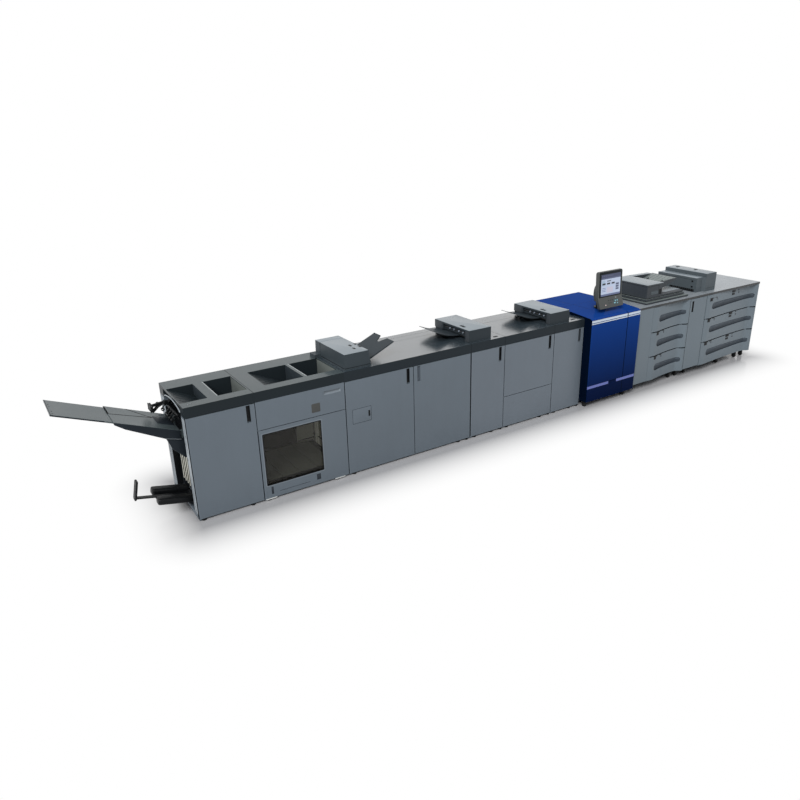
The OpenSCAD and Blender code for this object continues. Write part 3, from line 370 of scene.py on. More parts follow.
# a place in metres, from millimetres right of the row's left end, behind the finishing doors and above the
# floor
def spot(x, y, z):
    return np.stack(np.broadcast_arrays(x, y, z), axis=-1) / 1000.0 + (rowLeft, frontPlane, 0.0)


# a node's box in the same millimetres: its lowest and its highest corner
def boxOf(node):
    return [(np.array(corner) - (rowLeft, frontPlane, 0.0)) * 1000.0 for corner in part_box(node)]


# a grid's two parameters, 0 to 1: one down its rows, one along its columns
def gridOf(rows, columns):
    return np.linspace(0, 1, rows)[:, None], np.linspace(0, 1, columns)[None, :]


# a rounded rectangle round its middle: each corner is a quarter circle about its own centre
def roundedOutline(width, height, corner, steps=5):
    turn = np.linspace(0.0, np.pi / 2, steps) + np.arange(4)[:, None] * np.pi / 2
    middle = np.array([[1, 1], [-1, 1], [-1, -1], [1, -1]]) * (width / 2 - corner, height / 2 - corner)
    return (middle[:, None] + corner * np.stack([np.cos(turn), np.sin(turn)], axis=-1)).reshape(-1, 2)


# a plane's own rounded outline carried along its normal: one ring for each inset and height above the plane
def rings(centre, width, height, corner, along, up, insets, levels):
    along, up = np.asarray(along, float), np.asarray(up, float)
    flat = np.stack([roundedOutline(width - 2 * d, height - 2 * d, max(corner - d, 0.2)) for d in insets])
    level = np.asarray(levels)[:, None, None] * np.cross(along, up)
    return centre + (flat[..., :1] * along + flat[..., 1:] * up + level) / 1000.0


# a raised pad: straight sides from under the surface, then an edge rolled over a quarter circle
def pad(centre, width, height, rise, corner=3.0, edge=1.0, along=across, up=upward, sink=0.6):
    edge = min(edge, rise)
    roll = np.linspace(0.0, np.pi / 2, 4)
    insets = np.append(0.0, edge * (1 - np.cos(roll)))
    return rings(centre, width, height, corner, along, up, insets,
                 np.append(-sink, rise - edge + edge * np.sin(roll)))


# a pad between two corners of a face: two of x, y and z are pairs, the third is the face's own plane; trim
# makes it that much smaller altogether
def slab(x, y, z, rise, corner, edge, facing=onFront, trim=0.0):
    pairs = [np.ravel(value) for value in (x, y, z)]
    wide, tall = [pairs[i][1] - pairs[i][0] - trim for i in range(3) if len(pairs[i]) == 2]
    return pad(spot(*(pair.mean() for pair in pairs)), wide, tall, rise, corner, edge, *facing)


# a tray-like pad: its rim is rolled over and its floor lies lower, inside a border
def dish(centre, width, height, rise, border, floor, corner=4.0, along=across, up=upward, sink=0.6):
    roll = np.linspace(0.0, np.pi, 6)
    insets = np.concatenate([[0.0], border / 2 * (1 - np.cos(roll)), [border + 0.3]])
    levels = np.concatenate([[-sink], rise - border / 2 + border / 2 * np.sin(roll), [floor]])
    return rings(centre, width, height, corner, along, up, insets, levels)


# a thin strip on a face, from one place to another
def strip(start, end, normal, width, rise=0.3):
    way = end - start
    length = np.linalg.norm(way)
    way = way / length
    return pad((start + end) / 2, length * 1000, width, rise, width * 0.3, rise, way, np.cross(normal, way))


# the same between two places in millimetres
def line(start, end, normal, width, rise=0.3):
    return strip(spot(*start), spot(*end), normal, width, rise)


# a closed band round a rounded rectangle: a four-cornered section carried round the outline, to be used as
# a loop
def band(centre, width, height, corner, thick, rise, along=across, up=upward, sink=0.6):
    section = rings(centre, width, height, corner, along, up,
                    [0.0, 0.0, thick * 0.3, thick * 0.7, thick, thick],
                    [-sink, rise * 0.6, rise, rise, rise * 0.6, -sink])
    return section.transpose(1, 0, 2)


# a rod: a circle carried along a path, each ring across the path's own direction
def rod(path, radius, sides=12):
    way = np.gradient(path, axis=0)
    way /= np.linalg.norm(way, axis=1)[:, None]
    side = np.cross(way, np.array([0.31, 0.52, 0.8]))
    side /= np.linalg.norm(side, axis=1)[:, None]
    turn = np.linspace(0.0, 2 * np.pi, sides, endpoint=False)[None, :, None]
    radius = np.broadcast_to(radius, len(path))[:, None, None] / 1000.0
    return path[:, None] + radius * (np.cos(turn) * side[:, None] + np.sin(turn) * np.cross(way, side)[:, None])


# a wheel: a short rod whose rim is rounded off by a share of its radius
def wheel(x, y, z, radius, hub, sides):
    return rod(spot(x, y, z), np.array([hub[0], hub[1], 1, 1, hub[1], hub[0]]) * radius, sides)


# a bar: one closed side view moved along a straight way, with both ends drawn in over a quarter circle
def bar(outline, travel, edge=1.0):
    travel = np.asarray(travel, float) / 1000.0
    length = np.linalg.norm(travel) * 1000.0
    roll = np.linspace(0.0, np.pi / 2, 4)
    place = np.concatenate([edge * (1 - np.sin(roll[::-1])), length - edge * (1 - np.sin(roll))]) / length
    shrink = np.concatenate([1 - np.cos(roll[::-1]), 1 - np.cos(roll)]) * edge
    middle = outline.mean(axis=0)
    reach = np.linalg.norm(outline - middle, axis=1).max() * 1000.0
    return middle + (outline - middle) * (1 - shrink / reach)[:, None, None] + place[:, None, None] * travel


# a thick sheet between two grids of points, closed round its four sides
def blanket(front, back):
    return np.concatenate([front, back[:, ::-1]], axis=1)


smoothAngle = 40.0


# joins solids, each a grid whose rows are rings, into one mesh: four-cornered faces between neighbouring
# rings and a lid on the first and the last; in a loop the last ring meets the first and there are no lids
def buildPiece(name, slot, solids, finish=None, body="root", loops=()):
    points, faces, start = [], [], 0
    for number, solid in enumerate([*solids, *loops]):
        rows, columns = solid.shape[:2]
        looped = number >= len(solids)
        row = np.arange(rows if looped else rows - 1)[:, None]
        line = np.arange(columns)
        here, there, after = row * columns, (row + 1) % rows * columns, (line + 1) % columns
        faces += (start + np.stack([here + line, here + after, there + after, there + line],
                                   -1).reshape(-1, 4)).tolist()
        if not looped:
            faces += [(start + line[::-1]).tolist(), (start + (rows - 1) * columns + line).tolist()]
        points.append(solid.reshape(-1, 3))
        start += rows * columns
    mesh = bpy.data.meshes.new(name)
    mesh.from_pydata(np.concatenate(points).tolist(), [], faces)
    work = bmesh.new()
    work.from_mesh(mesh)
    bmesh.ops.remove_doubles(work, verts=work.verts, dist=1e-6)
    bmesh.ops.recalc_face_normals(work, faces=work.faces)
    work.to_mesh(mesh)
    work.free()
    mesh.polygons.foreach_set("use_smooth", np.ones(len(mesh.polygons), dtype=bool))
    mesh.set_sharp_from_angle(angle=math.radians(smoothAngle))
    mesh.materials.append(finishes[finish] if finish else slotFinish(slot))
    piece = bpy.data.objects.new(name, mesh)
    bpy.context.scene.collection.objects.link(piece)
    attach(piece, body)
    return piece


# thin dark lines, gaskets and gaps
def darkPiece(name, solids, body="root", loops=()):
    buildPiece(name, "black_plastic", solids, "seamBlack", body, loops)


grips = {
    "width": 35.0, "height": 156.0, "fromEdge": 42.0, "fromTop": 5.0, "depth": 13.6, "rise": 8.6, "gap": 0.4,
    "wallDepth": 0.7,
    "darkDoors": ("finisher_door", "binder_door_left", "relay_a_door", "folder_door"),
}


# a grip's lining: across the recess its depth falls away as a half sine, and its ends may curl up a little;
# it may run on up the far wall, as one more column at the same x, almost level with the door's face
def addGrip(door, left, head, height, rise, slot="black_plastic", finish=None, mirrored=False,
            curled=True, walled=True):
    front = boxOf(door)[0][1]
    u, v = gridOf(13, 17)
    curve = np.sin(np.pi * (1 - u if mirrored else u) * 0.5) ** 0.7
    curve = curve * (np.minimum(1, 8 * np.minimum(v, 1 - v)) ** 0.5 if curled else 1 + 0 * v)
    depth = grips["depth"] - rise * (1 - curve)
    x = left + grips["gap"] + u * (grips["width"] - 2 * grips["gap"])
    z = head - height + grips["gap"] + v * (height - 2 * grips["gap"])
    behind = x
    if walled:
        x, behind = np.append(x, x[-1:], axis=0), np.append(x, x[-1:] + 0.3, axis=0)
        depth = np.append(depth, np.full((1, depth.shape[1]), grips["wallDepth"]), axis=0)
    lining = blanket(spot(x, front + depth, z), spot(behind, front + grips["depth"] + 0.3, z))
    buildPiece(f"{door}_grip_lining", slot, [lining], finish, door)


def addDoorGrip(door, handle=1, **looks):
    low, high = boxOf(door)
    left = high[0] - grips["fromEdge"] - grips["width"] if handle > 0 else low[0] + grips["fromEdge"]
    addGrip(door, left, high[2] - grips["fromTop"], grips["height"], grips["rise"], **looks)


for door in grips["darkDoors"]:
    addDoorGrip(door)
addDoorGrip("binder_door_right", -1, slot="panel_paint", finish="gripGrey", mirrored=True, walled=False)
addDoorGrip("relay_b_door", slot="panel_paint", finish="scannerPlastic")

leftEnd = {
    "rise": 1.2, "posts": ((10.0, 88.0), (614.0, 630.0), (645.0, 665.0), (683.0, 697.0), (707.0, 725.0)),
    "postEnds": (66.0, 934.0),
    "slots": ((34.0, 92.0, 8, 22), (58.0, 120.0, 7, 18), (40.0, 640.0, 7, 60), (62.0, 700.0, 6, 34),
              (30.0, 780.0, 9, 26),
              (66.0, 560.0, 6, 28)),
    "buttons": ((55.0, 58.0), (82.0, 67.0)), "buttonWidth": 19.0, "ribs": 5, "ribPitch": 62.0, "ribWidth": 15.0,
    "lining": (86.0, 780.0), "guide": (600.0, 470.0, 962.0, 34.0, 5.5),
}


def addLeftEnd():
    e = leftEnd
    # the posts take the pale framePaint as painted highlight, where the light from the left falls on them
    buildPiece("end_posts", "panel_paint", [slab(0, y, e["postEnds"], e["rise"], 3, 1, onLeft)
                                            for y in e["posts"]], "framePaint")
    buildPiece("end_post_slots", "black_plastic",
               [pad(spot(-e["rise"], y, z), w, h, 0.25, 2, 0.2, leftward) for y, z, w, h in e["slots"]])
    places, size = [spot(x, y, boxOf("finisher_top")[1][2]) for x, y in e["buttons"]], e["buttonWidth"]
    buildPiece("top_button_rims", "black_plastic",
               [dish(place, size, size, 1.2, 2.0, 0.4, size / 2, *onTop) for place in places])
    buildPiece("top_buttons", "pale_plastic",
               [pad(place, size - 6, size - 6, 1.0, size / 2 - 3, 0.8, *onTop)
                for place in places], "framePaint")
    # painted shade: a dark lining on the recess's far side, and cream ribs standing on the grille, black as
    # painted shade
    buildPiece("recess_lining", "black_plastic",
               [pad(spot(45, boxOf("output_tray")[1][1] + 6, 470), *e["lining"], 0.8, 3, 0.5)])
    low, high = boxOf("end_grille")
    middles = (low[1] + high[1]) / 2 + (np.arange(e["ribs"]) - e["ribs"] // 2) * e["ribPitch"]
    ribs = [pad(spot(low[0], y, (low[2] + high[2]) / 2), e["ribWidth"], high[2] - low[2] - 8, 3, 3, 2,
                leftward) for y in middles]
    buildPiece("grille_ribs", "pale_plastic", ribs, "creamPaint")
    # a guide rail inside the opening that bows up as a sine
    back, reach, foot, bow, radius = e["guide"]
    turn = np.linspace(0.0, 1.0, 25)
    guide = spot(6 + 4 * np.sin(np.pi * turn), back - reach * turn, foot + bow * np.sin(np.pi * turn) ** 0.6)
    buildPiece("exit_guide", "pale_plastic", [rod(guide, radius)], "framePaint")


exitWheels = {"places": (240.0, 300.0, 360.0, 420.0, 540.0), "barHeight": 905.0, "reach": 42.0,
              "drop": 40.0, "radius": 15.0}


# wheels on drop arms: each arm is a rod that bends down through a quarter circle
def addExitWheels():
    w = exitWheels
    top, stands = w["barHeight"], [206, 380, 590]
    solids = [rod(spot(4, stands, top), 11), rod(spot(16, stands, top - 34), 8)]
    bend = np.linspace(0.0, np.pi / 2, 9)
    for y in w["places"]:
        arm = spot(2 - w["reach"] * np.sin(bend), y, top - w["drop"] * (1 - np.cos(bend)))
        solids.append(rod(arm, 6.5, 10))
        solids.append(wheel(2 - w["reach"], y + np.array([-12, -12, -9, 9, 12, 12]), top - w["drop"],
                            w["radius"], (0.3, 0.75), 20))
    buildPiece("exit_wheels", "black_plastic", solids)


armDress = {"middle": 455.0, "link": ((30, 952), (-30, 962), (-95, 957), (-152, 948)),
            "brace": ((-44, 955), (-100, 930), (-148, 890)),
            "knuckles": ((8, 950, 26, 19), (-34, 960, 22, 15), (-92, 956, 20, 13)), "paddle": (116.0, 62.0)}


# the stop arm's rods, its knuckles and its paddle
def addArmDress():
    y = armDress["middle"]
    link, brace = np.array(armDress["link"]), np.array(armDress["brace"])
    solids = [rod(spot(link[:, 0], y, link[:, 1]), [13, 12, 10, 12]),
              rod(spot(brace[:, 0], y + 12, brace[:, 1]), 8),
              rod(spot(brace[:, 0] + 6, y - 20, brace[:, 1] + 4), 6)]
    solids += [wheel(x, y + np.array([-1, -1, -0.8, 0.8, 1, 1]) * half, z, radius, (0.4, 0.85), 18)
               for x, z, half, radius in armDress["knuckles"]]
    width, height = armDress["paddle"]
    solids.append(dish(spot(-160.2, y, 934), width, height, 3.5, 5, 1.5, 9, leftward))
    solids.append(pad(spot(-144.8, y, 934), width - 6, height - 4, 2.5, 9, 2, backward))
    buildPiece("stop_arm_links", "black_plastic", solids)


trayDress = {
    "slope": math.radians(21.5), "rootHeight": 786.0, "joint": -498.0, "front": 178.0, "lineWidth": 12.0,
    "grooves": (((-496, 402), (-152, 446)), ((-330, 602), (-196, 476)), ((-196, 476), (-152, 446)),
                ((-496, 402), (-496, 600))),
    "coverFoot": ((-423, 904), (-276, 824), (-128, 743), (-66, 725), (-5, 707)),
    "bracket": ((-129, 758), (-85, 640), (9, 532), (50, 532), (50, 742), (-5, 704)),
    "hub": (-150.0, 300.0, 140.0, 190.0, 15.0), "studs": ((-900, 250), (-900, 300), (-904, 420), (-904, 470)),
}


def trayTop(x):
    return trayDress["rootHeight"] - np.asarray(x, float) * math.tan(trayDress["slope"])


def slopeNormal(slope):
    return np.array([math.sin(slope), 0.0, math.cos(slope)])


def addTrayDress():
    t = trayDress
    front, joint, normal = t["front"], t["joint"], slopeNormal(t["slope"])
    darkPiece("tray_grooves", [line((x0, y0, trayTop(x0)), (x1, y1, trayTop(x1)), normal, t["lineWidth"])
                               for (x0, y0), (x1, y1) in t["grooves"]], "output_tray")
    # the dark cover on the tray's front side, and on its bracket
    side = np.array([(joint, trayTop(joint) - 3), (joint, trayTop(joint) - 21), *t["coverFoot"],
                     *((x, trayTop(x) - 3) for x in (-5, -250))])
    bracket = np.array(t["bracket"])
    cover = [bar(spot(side[:, 0], front + 0.5, side[:, 1]), (0, -2.2, 0), 1.0),
             bar(spot(bracket[:, 0], front + 10.4, bracket[:, 1]), (0, -2.0, 0), 0.8)]
    buildPiece("tray_side_covers", "tray_plastic", cover, "traySide", "output_tray")
    bead = rod(spot([-128, -66, -6], front - 1.6, [744, 726, 708.6]), 1.6, 8)
    buildPiece("tray_side_bead", "tray_plastic", [bead], "framePaint", "output_tray")
    # the hub where sheets land: a low mound, the product of two half sines' roots
    u, v = gridOf(25, 25)
    left, near, long, wide, rise = t["hub"]
    x, y = left + u * long + 0 * v, near + v * wide + 0 * u
    mound = rise * np.sin(np.pi * u) ** 0.5 * np.sin(np.pi * v) ** 0.5
    hub = blanket(spot(x, y, trayTop(x) + mound), spot(x, y, trayTop(x) - 1.0))
    buildPiece("tray_hub", "tray_plastic", [hub], "traySide", "output_tray")
    # rolled edges along the extension's two sides and end, and its end stop's four studs
    ends = [rod(spot([-922, -700, -560], y, trayTop([-922, -700, -560]) - 10.6), 5.0, 10)
            for y in (203.4, 580.6)]
    buildPiece("extension_edges", "tray_plastic", ends, "traySide", "tray_extension")
    lip = rod(spot(-919, [205, 392, 579], trayTop(-919) - 8.0), 4.6, 10)
    buildPiece("extension_lip", "tray_plastic", [lip], "traySide", "tray_extension")
    buildPiece("extension_studs", "black_plastic",
               [pad(spot(x, y, trayTop(x) - 4.33), 13, 13, 0.4, 6.4, 0.3, np.cross(backward, normal), backward)
                for x, y in t["studs"]],
               None, "tray_extension")


booklet = {"slope": math.radians(12.0), "root": (52.0, 100.0), "length": 338.0, "bar": (92.0, 60.0),
           "middles": (197.0, 403.0),
           "rungs": (-60, -110, -160, -210, -260, -310)}


# a place on the booklet tray's own slope
def bookletSpot(x, y, z):
    turn, (rootX, rootZ) = booklet["slope"], booklet["root"]
    x, z = np.asarray(x, float), np.asarray(z, float)
    return spot(rootX + x * math.cos(turn) + z * math.sin(turn), y,
                rootZ - x * math.sin(turn) + z * math.cos(turn))


# two round-edged rails with a groove along each, on a base with ribs, and a socket at the machine
def addBooklet():
    b = booklet
    width, height = b["bar"]
    shape, base = roundedOutline(width, height, 22, 7), roundedOutline(230, 17, 6, 4)
    socket = roundedOutline(30, 66, 10)
    travel, lift = (bookletSpot(-b["length"], 0, 0) - bookletSpot(-14, 0, 0)) * 1000, slopeNormal(b["slope"])
    solids = [bar(bookletSpot(-14, y + shape[:, 0], height / 2 + 1 + shape[:, 1]), travel, 16)
              for y in b["middles"]]
    solids.append(bar(bookletSpot(-14, 300 + base[:, 0], 9.5 + base[:, 1]), travel * 0.95, 4))
    solids += [rod(bookletSpot(x, [246, 300, 354], 17), 3.2, 8) for x in b["rungs"]]
    solids.append(bar(spot(37 + socket[:, 0], 186, 108 + socket[:, 1]), (0, 228, 0), 6))
    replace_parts(buildPiece("booklet_rails", "black_plastic", solids), "booklet_tray")
    darkPiece("booklet_grooves", [strip(bookletSpot(-24, y, height + 1),
                                        bookletSpot(-b["length"] + 26, y, height + 1), lift, 3, 0.5)
                                  for middle in b["middles"] for y in (middle - 14, middle + 14)])
    plate, near, far = roundedOutline(66, 168, 6), -487.8, -500.2
    stop = [dish(bookletSpot(far, 300, 100), 66, 168, 2.5, 5, 1.2, 10, leftward, lift),
            pad(bookletSpot(near, 300, 100), 64, 166, 2.2, 9, 2, backward, lift),
            bar(bookletSpot(far, 300 + plate[:, 0], 100 + plate[:, 1]),
                (bookletSpot(near, 0, 0) - bookletSpot(far, 0, 0)) * 1000, 1),
            rod(bookletSpot(-494, [280, 320], 16), 9)]
    buildPiece("booklet_stop_face", "black_plastic", stop, None, "booklet_stop")


addLeftEnd()
addExitWheels()
addArmDress()
addTrayDress()
addBooklet()
print("left end dressed")

pockets = {
    "slopeTop": 1037.0, "slope": math.radians(24.0), "front": 115.0, "back": 527.0, "floor": 881.0,
    "sloped": ((8.0, 238.0), (741.0, 1110.0)), "deep": ((327.0, 580.0), (1145.0, 1437.0)),
    "capWidth": 9.0, "ribs": 5,
}


# floor ribs that follow the slope, pale caps on the partitions, and plates on the walls that face left:
# pale ones in the deep pockets as painted light, dark ones in the sloped pockets as painted shade
def addPockets():
    p = pockets
    front, back, normal = p["front"], p["back"], slopeNormal(p["slope"])
    ribs, caps, walls, guides, shades = [], [], [], [], []
    middle, depth, ribPlaces = (front + back) / 2, back - front, np.linspace(front + 40, back - 40, p["ribs"])
    for left, right in p["sloped"]:
        fall = lambda x: p["slopeTop"] - (x - left) * math.tan(p["slope"])
        ribs += [line((left + 24, y, fall(left + 24)), (right - 12, y, fall(right - 12)), normal, 9, 2.4)
                 for y in ribPlaces]
        guides.append(line((left + 34, front + 16, fall(left + 34)), (right - 8, front + 16, fall(right - 8)),
                           normal, 22, 9.0))
        shades.append(pad(spot(right, middle, (fall(right) + 1036) / 2 + 3), depth - 8, 1030 - fall(right),
                          0.8, 3, 0.6, leftward))
    for left, right in p["deep"]:
        ribs += [line((left + 10, y, p["floor"]), (right - 10, y, p["floor"]), upward, 9, 2.4)
                 for y in ribPlaces]
        caps.append(slab((left - p["capWidth"], left), (front, back), 1041, 1.5, 2, 1, onTop))
        walls.append(pad(spot(right, middle, (p["floor"] + 1036) / 2), depth - 8, 150, 0.8, 3, 0.6, leftward))
    for name, solids, finish in (("ribs", ribs, None), ("guides", guides, "liningGrey"),
                                 ("caps", caps, "capGrey"),
                                 ("walls", walls, "liningGrey"), ("shades", shades, "unitPlastic")):
        buildPiece(f"pocket_{name}", "cover_plastic", solids, finish)


addPockets()

stacker = {
    "window": (631.0, 1193.0, 143.0, 642.0), "gasket": 7.0, "surround": 9.0, "doorTop": 683.0,
    "slots": ((676.0, 88.0, 20.0, 72.0), (1135.0, 88.0, 40.0, 58.0)), "plate": (1154.0, 770.0, 84.0),
    "skirt": (746.0, 1044.0, 63.0), "feet": ((606.0, 712.0), (1300.0, 1407.0)), "darkWall": (622.0, 1237.0),
    "wallEnds": (100.0, 660.0), "wallBack": 700.0, "chamberRight": 1430.0, "boardPitch": 172.0,
    "boards": (-1.7, -0.7, 0.3, 1.3),
}


def addStacker():
    s = stacker
    left, right, low, high = s["window"]
    middle, width, height = spot((left + right) / 2, 0, (low + high) / 2), right - left + 2, high - low + 2
    rim = s["surround"]
    buildPiece("window_gasket", "black_plastic", [], None, "stacker_door",
               [band(middle, width, height, 10, s["gasket"], 1.6)])
    buildPiece("window_surround", "panel_paint", [], "surroundPaint", "stacker_door",
               [band(middle, width + 2 * rim, height + 2 * rim, 14, rim - 0.5, 1.0)])
    slots = [dish(spot(x, 0, z), w, h, 1.2, 2, 0.4, 3) for x, z, w, h in s["slots"]]
    buildPiece("stacker_door_slots", "black_plastic", slots, "slotGrey", "stacker_door")
    a, b, z = s["skirt"]
    darkPiece("stacker_skirt_seam", [line((a, 0, z), (b, 0, z), -backward, 3)], "stacker_door")
    x, z, size = s["plate"]
    buildPiece("blank_plate", "panel_paint", [pad(spot(x, 0, z), size, size, 1.4, 7, 1.0)], "blankBrown")
    buildPiece("foot_plates", "pale_plastic", [slab(foot, 6, (10, 17), 14, 2, 1.5)
                                               for foot in s["feet"]], "steel")
    # the lining of the upper panel's handle, a lip that rolls up as a quarter sine
    panel = boxOf("stacker_upper_panel")[1]
    v, u = gridOf(9, 17)
    x, z = panel[0] - 207 + 171 * u, panel[2] - 78.6 + 34 * v
    endCurl = np.minimum(1, 10 * np.minimum(u, 1 - u)) ** 0.5
    lip = 1.0 + 13.5 * np.sin(np.pi / 2 * np.clip(v * 1.5, 0, 1)) * endCurl
    lining = blanket(spot(x, lip, z), spot(x, 15.8 + 0 * lip, z))
    buildPiece("stacker_handle_lining", "panel_paint", [lining], "surroundPaint")
    # inside: dark and light back panels, the right wall with its rail and post, and the pallet's boards
    wallLeft, wallRight = s["darkWall"]
    end, back, ends = s["chamberRight"], s["wallBack"], s["wallEnds"]
    darkWall = slab((wallLeft, wallRight), back, ends, 3, 4, 1)
    paleWalls = [slab((wallRight + 3, end - 3), back, ends, 6, 4, 1),
                 slab(end + 3, (57, 687), ends, 3, 4, 1, onLeft)]
    buildPiece("chamber_dark_wall", "panel_paint", [darkWall], "chamberDark")
    buildPiece("chamber_pale_walls", "panel_paint", paleWalls, "chamberPale")
    posts = [slab(end - 1, (583, 617), ends, 22, 5, 3, onLeft), slab(end - 2, (53, 79), ends, 16, 5, 3, onLeft)]
    buildPiece("chamber_posts", "pale_plastic", posts, "chamberPost")
    buildPiece("chamber_rails", "dark_metal", [rod(spot([640, 1000, 1424], 688, 158), 5),
                                               rod(spot(1424, [420, 560, 690], 200), 6)])
    low, high = boxOf("stacker_platform")
    boards = [pad(spot((low[0] + high[0]) / 2 + i * s["boardPitch"], (low[1] + high[1]) / 2, high[2]),
                  s["boardPitch"] - 6,
                  high[1] - low[1] - 14, 6, 5, 2, *onTop) for i in s["boards"]]
    buildPiece("pallet_boards", "dark_metal", boards, "chamberBoard")


addStacker()
print("stacker dressed")

binderHatch = {"place": (1619.0, 0.0, 586.0), "size": (202.0, 147.0), "inset": 6.5,
               "latch": (1696.5, 588.5, 18.0, 60.0)}


def addHatch():
    place, (width, height), (x, z, w,
                             h) = spot(*binderHatch["place"]), binderHatch["size"], binderHatch["latch"]
    darkPiece("hatch_seam", [], "binder_door_left", [band(place, width, height, 5, 2.6, 0.3)])
    cover = pad(place, width - binderHatch["inset"], height - binderHatch["inset"], 0.9, 4, 0.7)
    buildPiece("hatch_cover", "panel_paint", [cover], None, "binder_door_left")
    buildPiece("hatch_latch", "black_plastic", [dish(spot(x, -0.9, z), w, h, 2.2, 3, 0.6, 4)], None,
               "binder_door_left")


topSeams = {
    "joints": (2904.0, 3347.0, 4049.0), "width": 3.0, "deckWidth": 4.0,
    "long": ((1740.0, 2900.0, 536.0), (3190.0, 4010.0, 536.0), (1780.0, 2880.0, 640.0)), "longWidth": 2.0,
}


# seams across the tops and down their front band, between the modules, and along their lids
def addTopSeams():
    (_, _, foot), (_, back, top) = boxOf("cabinet_tops")
    width = topSeams["width"]
    seams = [line((x, 2, top), (x, back - 2, top), upward, width) for x in topSeams["joints"]]
    seams += [line((x, 0, foot), (x, 0, top), -backward, width) for x in topSeams["joints"]]
    seams += [line((a, y, top), (b, y, top), upward, topSeams["longWidth"]) for a, b, y in topSeams["long"]]
    end, back, top = boxOf("finisher_top")[1]
    darkPiece("top_seams", [*seams, line((end, 2, top), (end, back - 2, top), upward, topSeams["deckWidth"])])


inserterOne = {
    "buttons": ((1656.0, 165.0, 22, 46), (1670.0, 266.0, 22, 50), (1733.0, 194.0, 22, 50),
                (1734.0, 282.0, 22, 38)),
    "seam": 536.0, "tray": 64.0, "foot": 22.0,
}
lowInserters = {
    "nodes": ("inserter_2", "inserter_3"), "discs": (161.0, 230.0, 315.0, 383.0), "discHeight": 79.0,
    "control": (52.0, 218.0),
    "cheeks": ((567.0, 78.0, 118.0, 78.0), (74.0, 60.0, 54.0, 106.0)), "latch": (358.0, 60.0),
}


def addInserters():
    (start, front, foot), (end, back, top) = boxOf("inserter_1")
    left, right, seam = start + inserterOne["tray"], end - inserterOne["foot"], inserterOne["seam"]
    middle, wide = (left + right) / 2 + 1.5, right - left - 4
    lids = [pad(spot(middle, (front + seam) / 2, top), wide, seam - front - 4, 2.2, 8, 2.0, *onTop),
            pad(spot(middle, (back + seam) / 2, top), wide, back - seam - 5, 2.2, 8, 2.0, *onTop)]
    buildPiece("inserter_1_lid", "cover_plastic", lids, "lidGrey")
    buttons = [pad(spot(x, y, top + 2.0), w, h, 1.8, 3, 1.2, *onTop) for x, y, w, h in inserterOne["buttons"]]
    buildPiece("inserter_1_buttons", "black_plastic", buttons)
    darkPiece("inserter_1_seams", [
        line((left - 0.5, front + 4, foot + 14), (left - 0.5, back - 120, foot + 14), -across, 5, 0.5),
        line((left + 1.5, seam, foot + 8), (left + 1.5, seam, top - 4), -across, 2.5, 1.2),
        line((left + 4, front, foot + 14), (right + 14, front, foot + 14), -backward, 4, 0.4)])
    lids, discs, darks, latches, shafts, cheeks = [], [], [], [], [], []
    for node in lowInserters["nodes"]:
        (left, front, foot), (right, back, top) = boxOf(node)
        height, (x, y) = foot + lowInserters["discHeight"], lowInserters["control"]
        latchX, latchY = lowInserters["latch"]
        lids.append(slab((left, right), (front, back), top, 2.2, 8, 2.0, onTop, 3))
        discs += [wheel(left + np.array([8, 8, 10, 20, 22, 22]), disc, height, 8.5, (0.5, 0.85), 16)
                  for disc in lowInserters["discs"]]
        shafts += [rod(spot(left + 17, [112, 300, 480], height), 5),
                   rod(spot(left + 70, [112, 340, 600], foot + 24), 12)]
        cheeks += [pad(spot(left, at, foot + z), wide, tall, 1.5, 4, 1.0, leftward)
                   for at, z, wide, tall in lowInserters["cheeks"]]
        darks += [pad(spot(left + x, y, top + 2.0), 27, 80, 1.8, 4, 1.2, *onTop),
                  pad(spot(left + x + 30, y + 30, top + 2.0), 13, 13, 1.2, 4, 1.0, *onTop)]
        place = spot(left + latchX, latchY, foot)
        latches += [dish(place, 56, 20, 2.6, 3, 0.8, 6, *onTop), pad(place, 18, 10, 4.5, 4, 2.0, *onTop)]
    buildPiece("low_inserter_lids", "cover_plastic", lids, "lidGrey")
    buildPiece("low_inserter_discs", "pale_plastic", discs)
    buildPiece("low_inserter_shafts", "dark_metal", shafts)
    darkPiece("low_inserter_controls", darks)
    buildPiece("low_inserter_cheeks", "cover_plastic", cheeks, "scannerPlastic")
    buildPiece("deck_latches", "black_plastic", latches)


addHatch()
addTopSeams()
addInserters()
print("inserters dressed")

engine = {
    "lowerPanel": ((4508.0, 5290.0), (76.0, 220.0)), "notch": ((4853.0, 4982.0), (228.0, 256.0)),
    "gap": ((5067.0, 5099.0), (992.0, 1038.0)),
    "topHatch": (4700.0, 560.0, 110.0, 70.0), "topSeam": 430.0, "seamFromLeft": 260.0, "seamWidth": 3.0,
    "sideCover": (110.0, 1010.0),
}


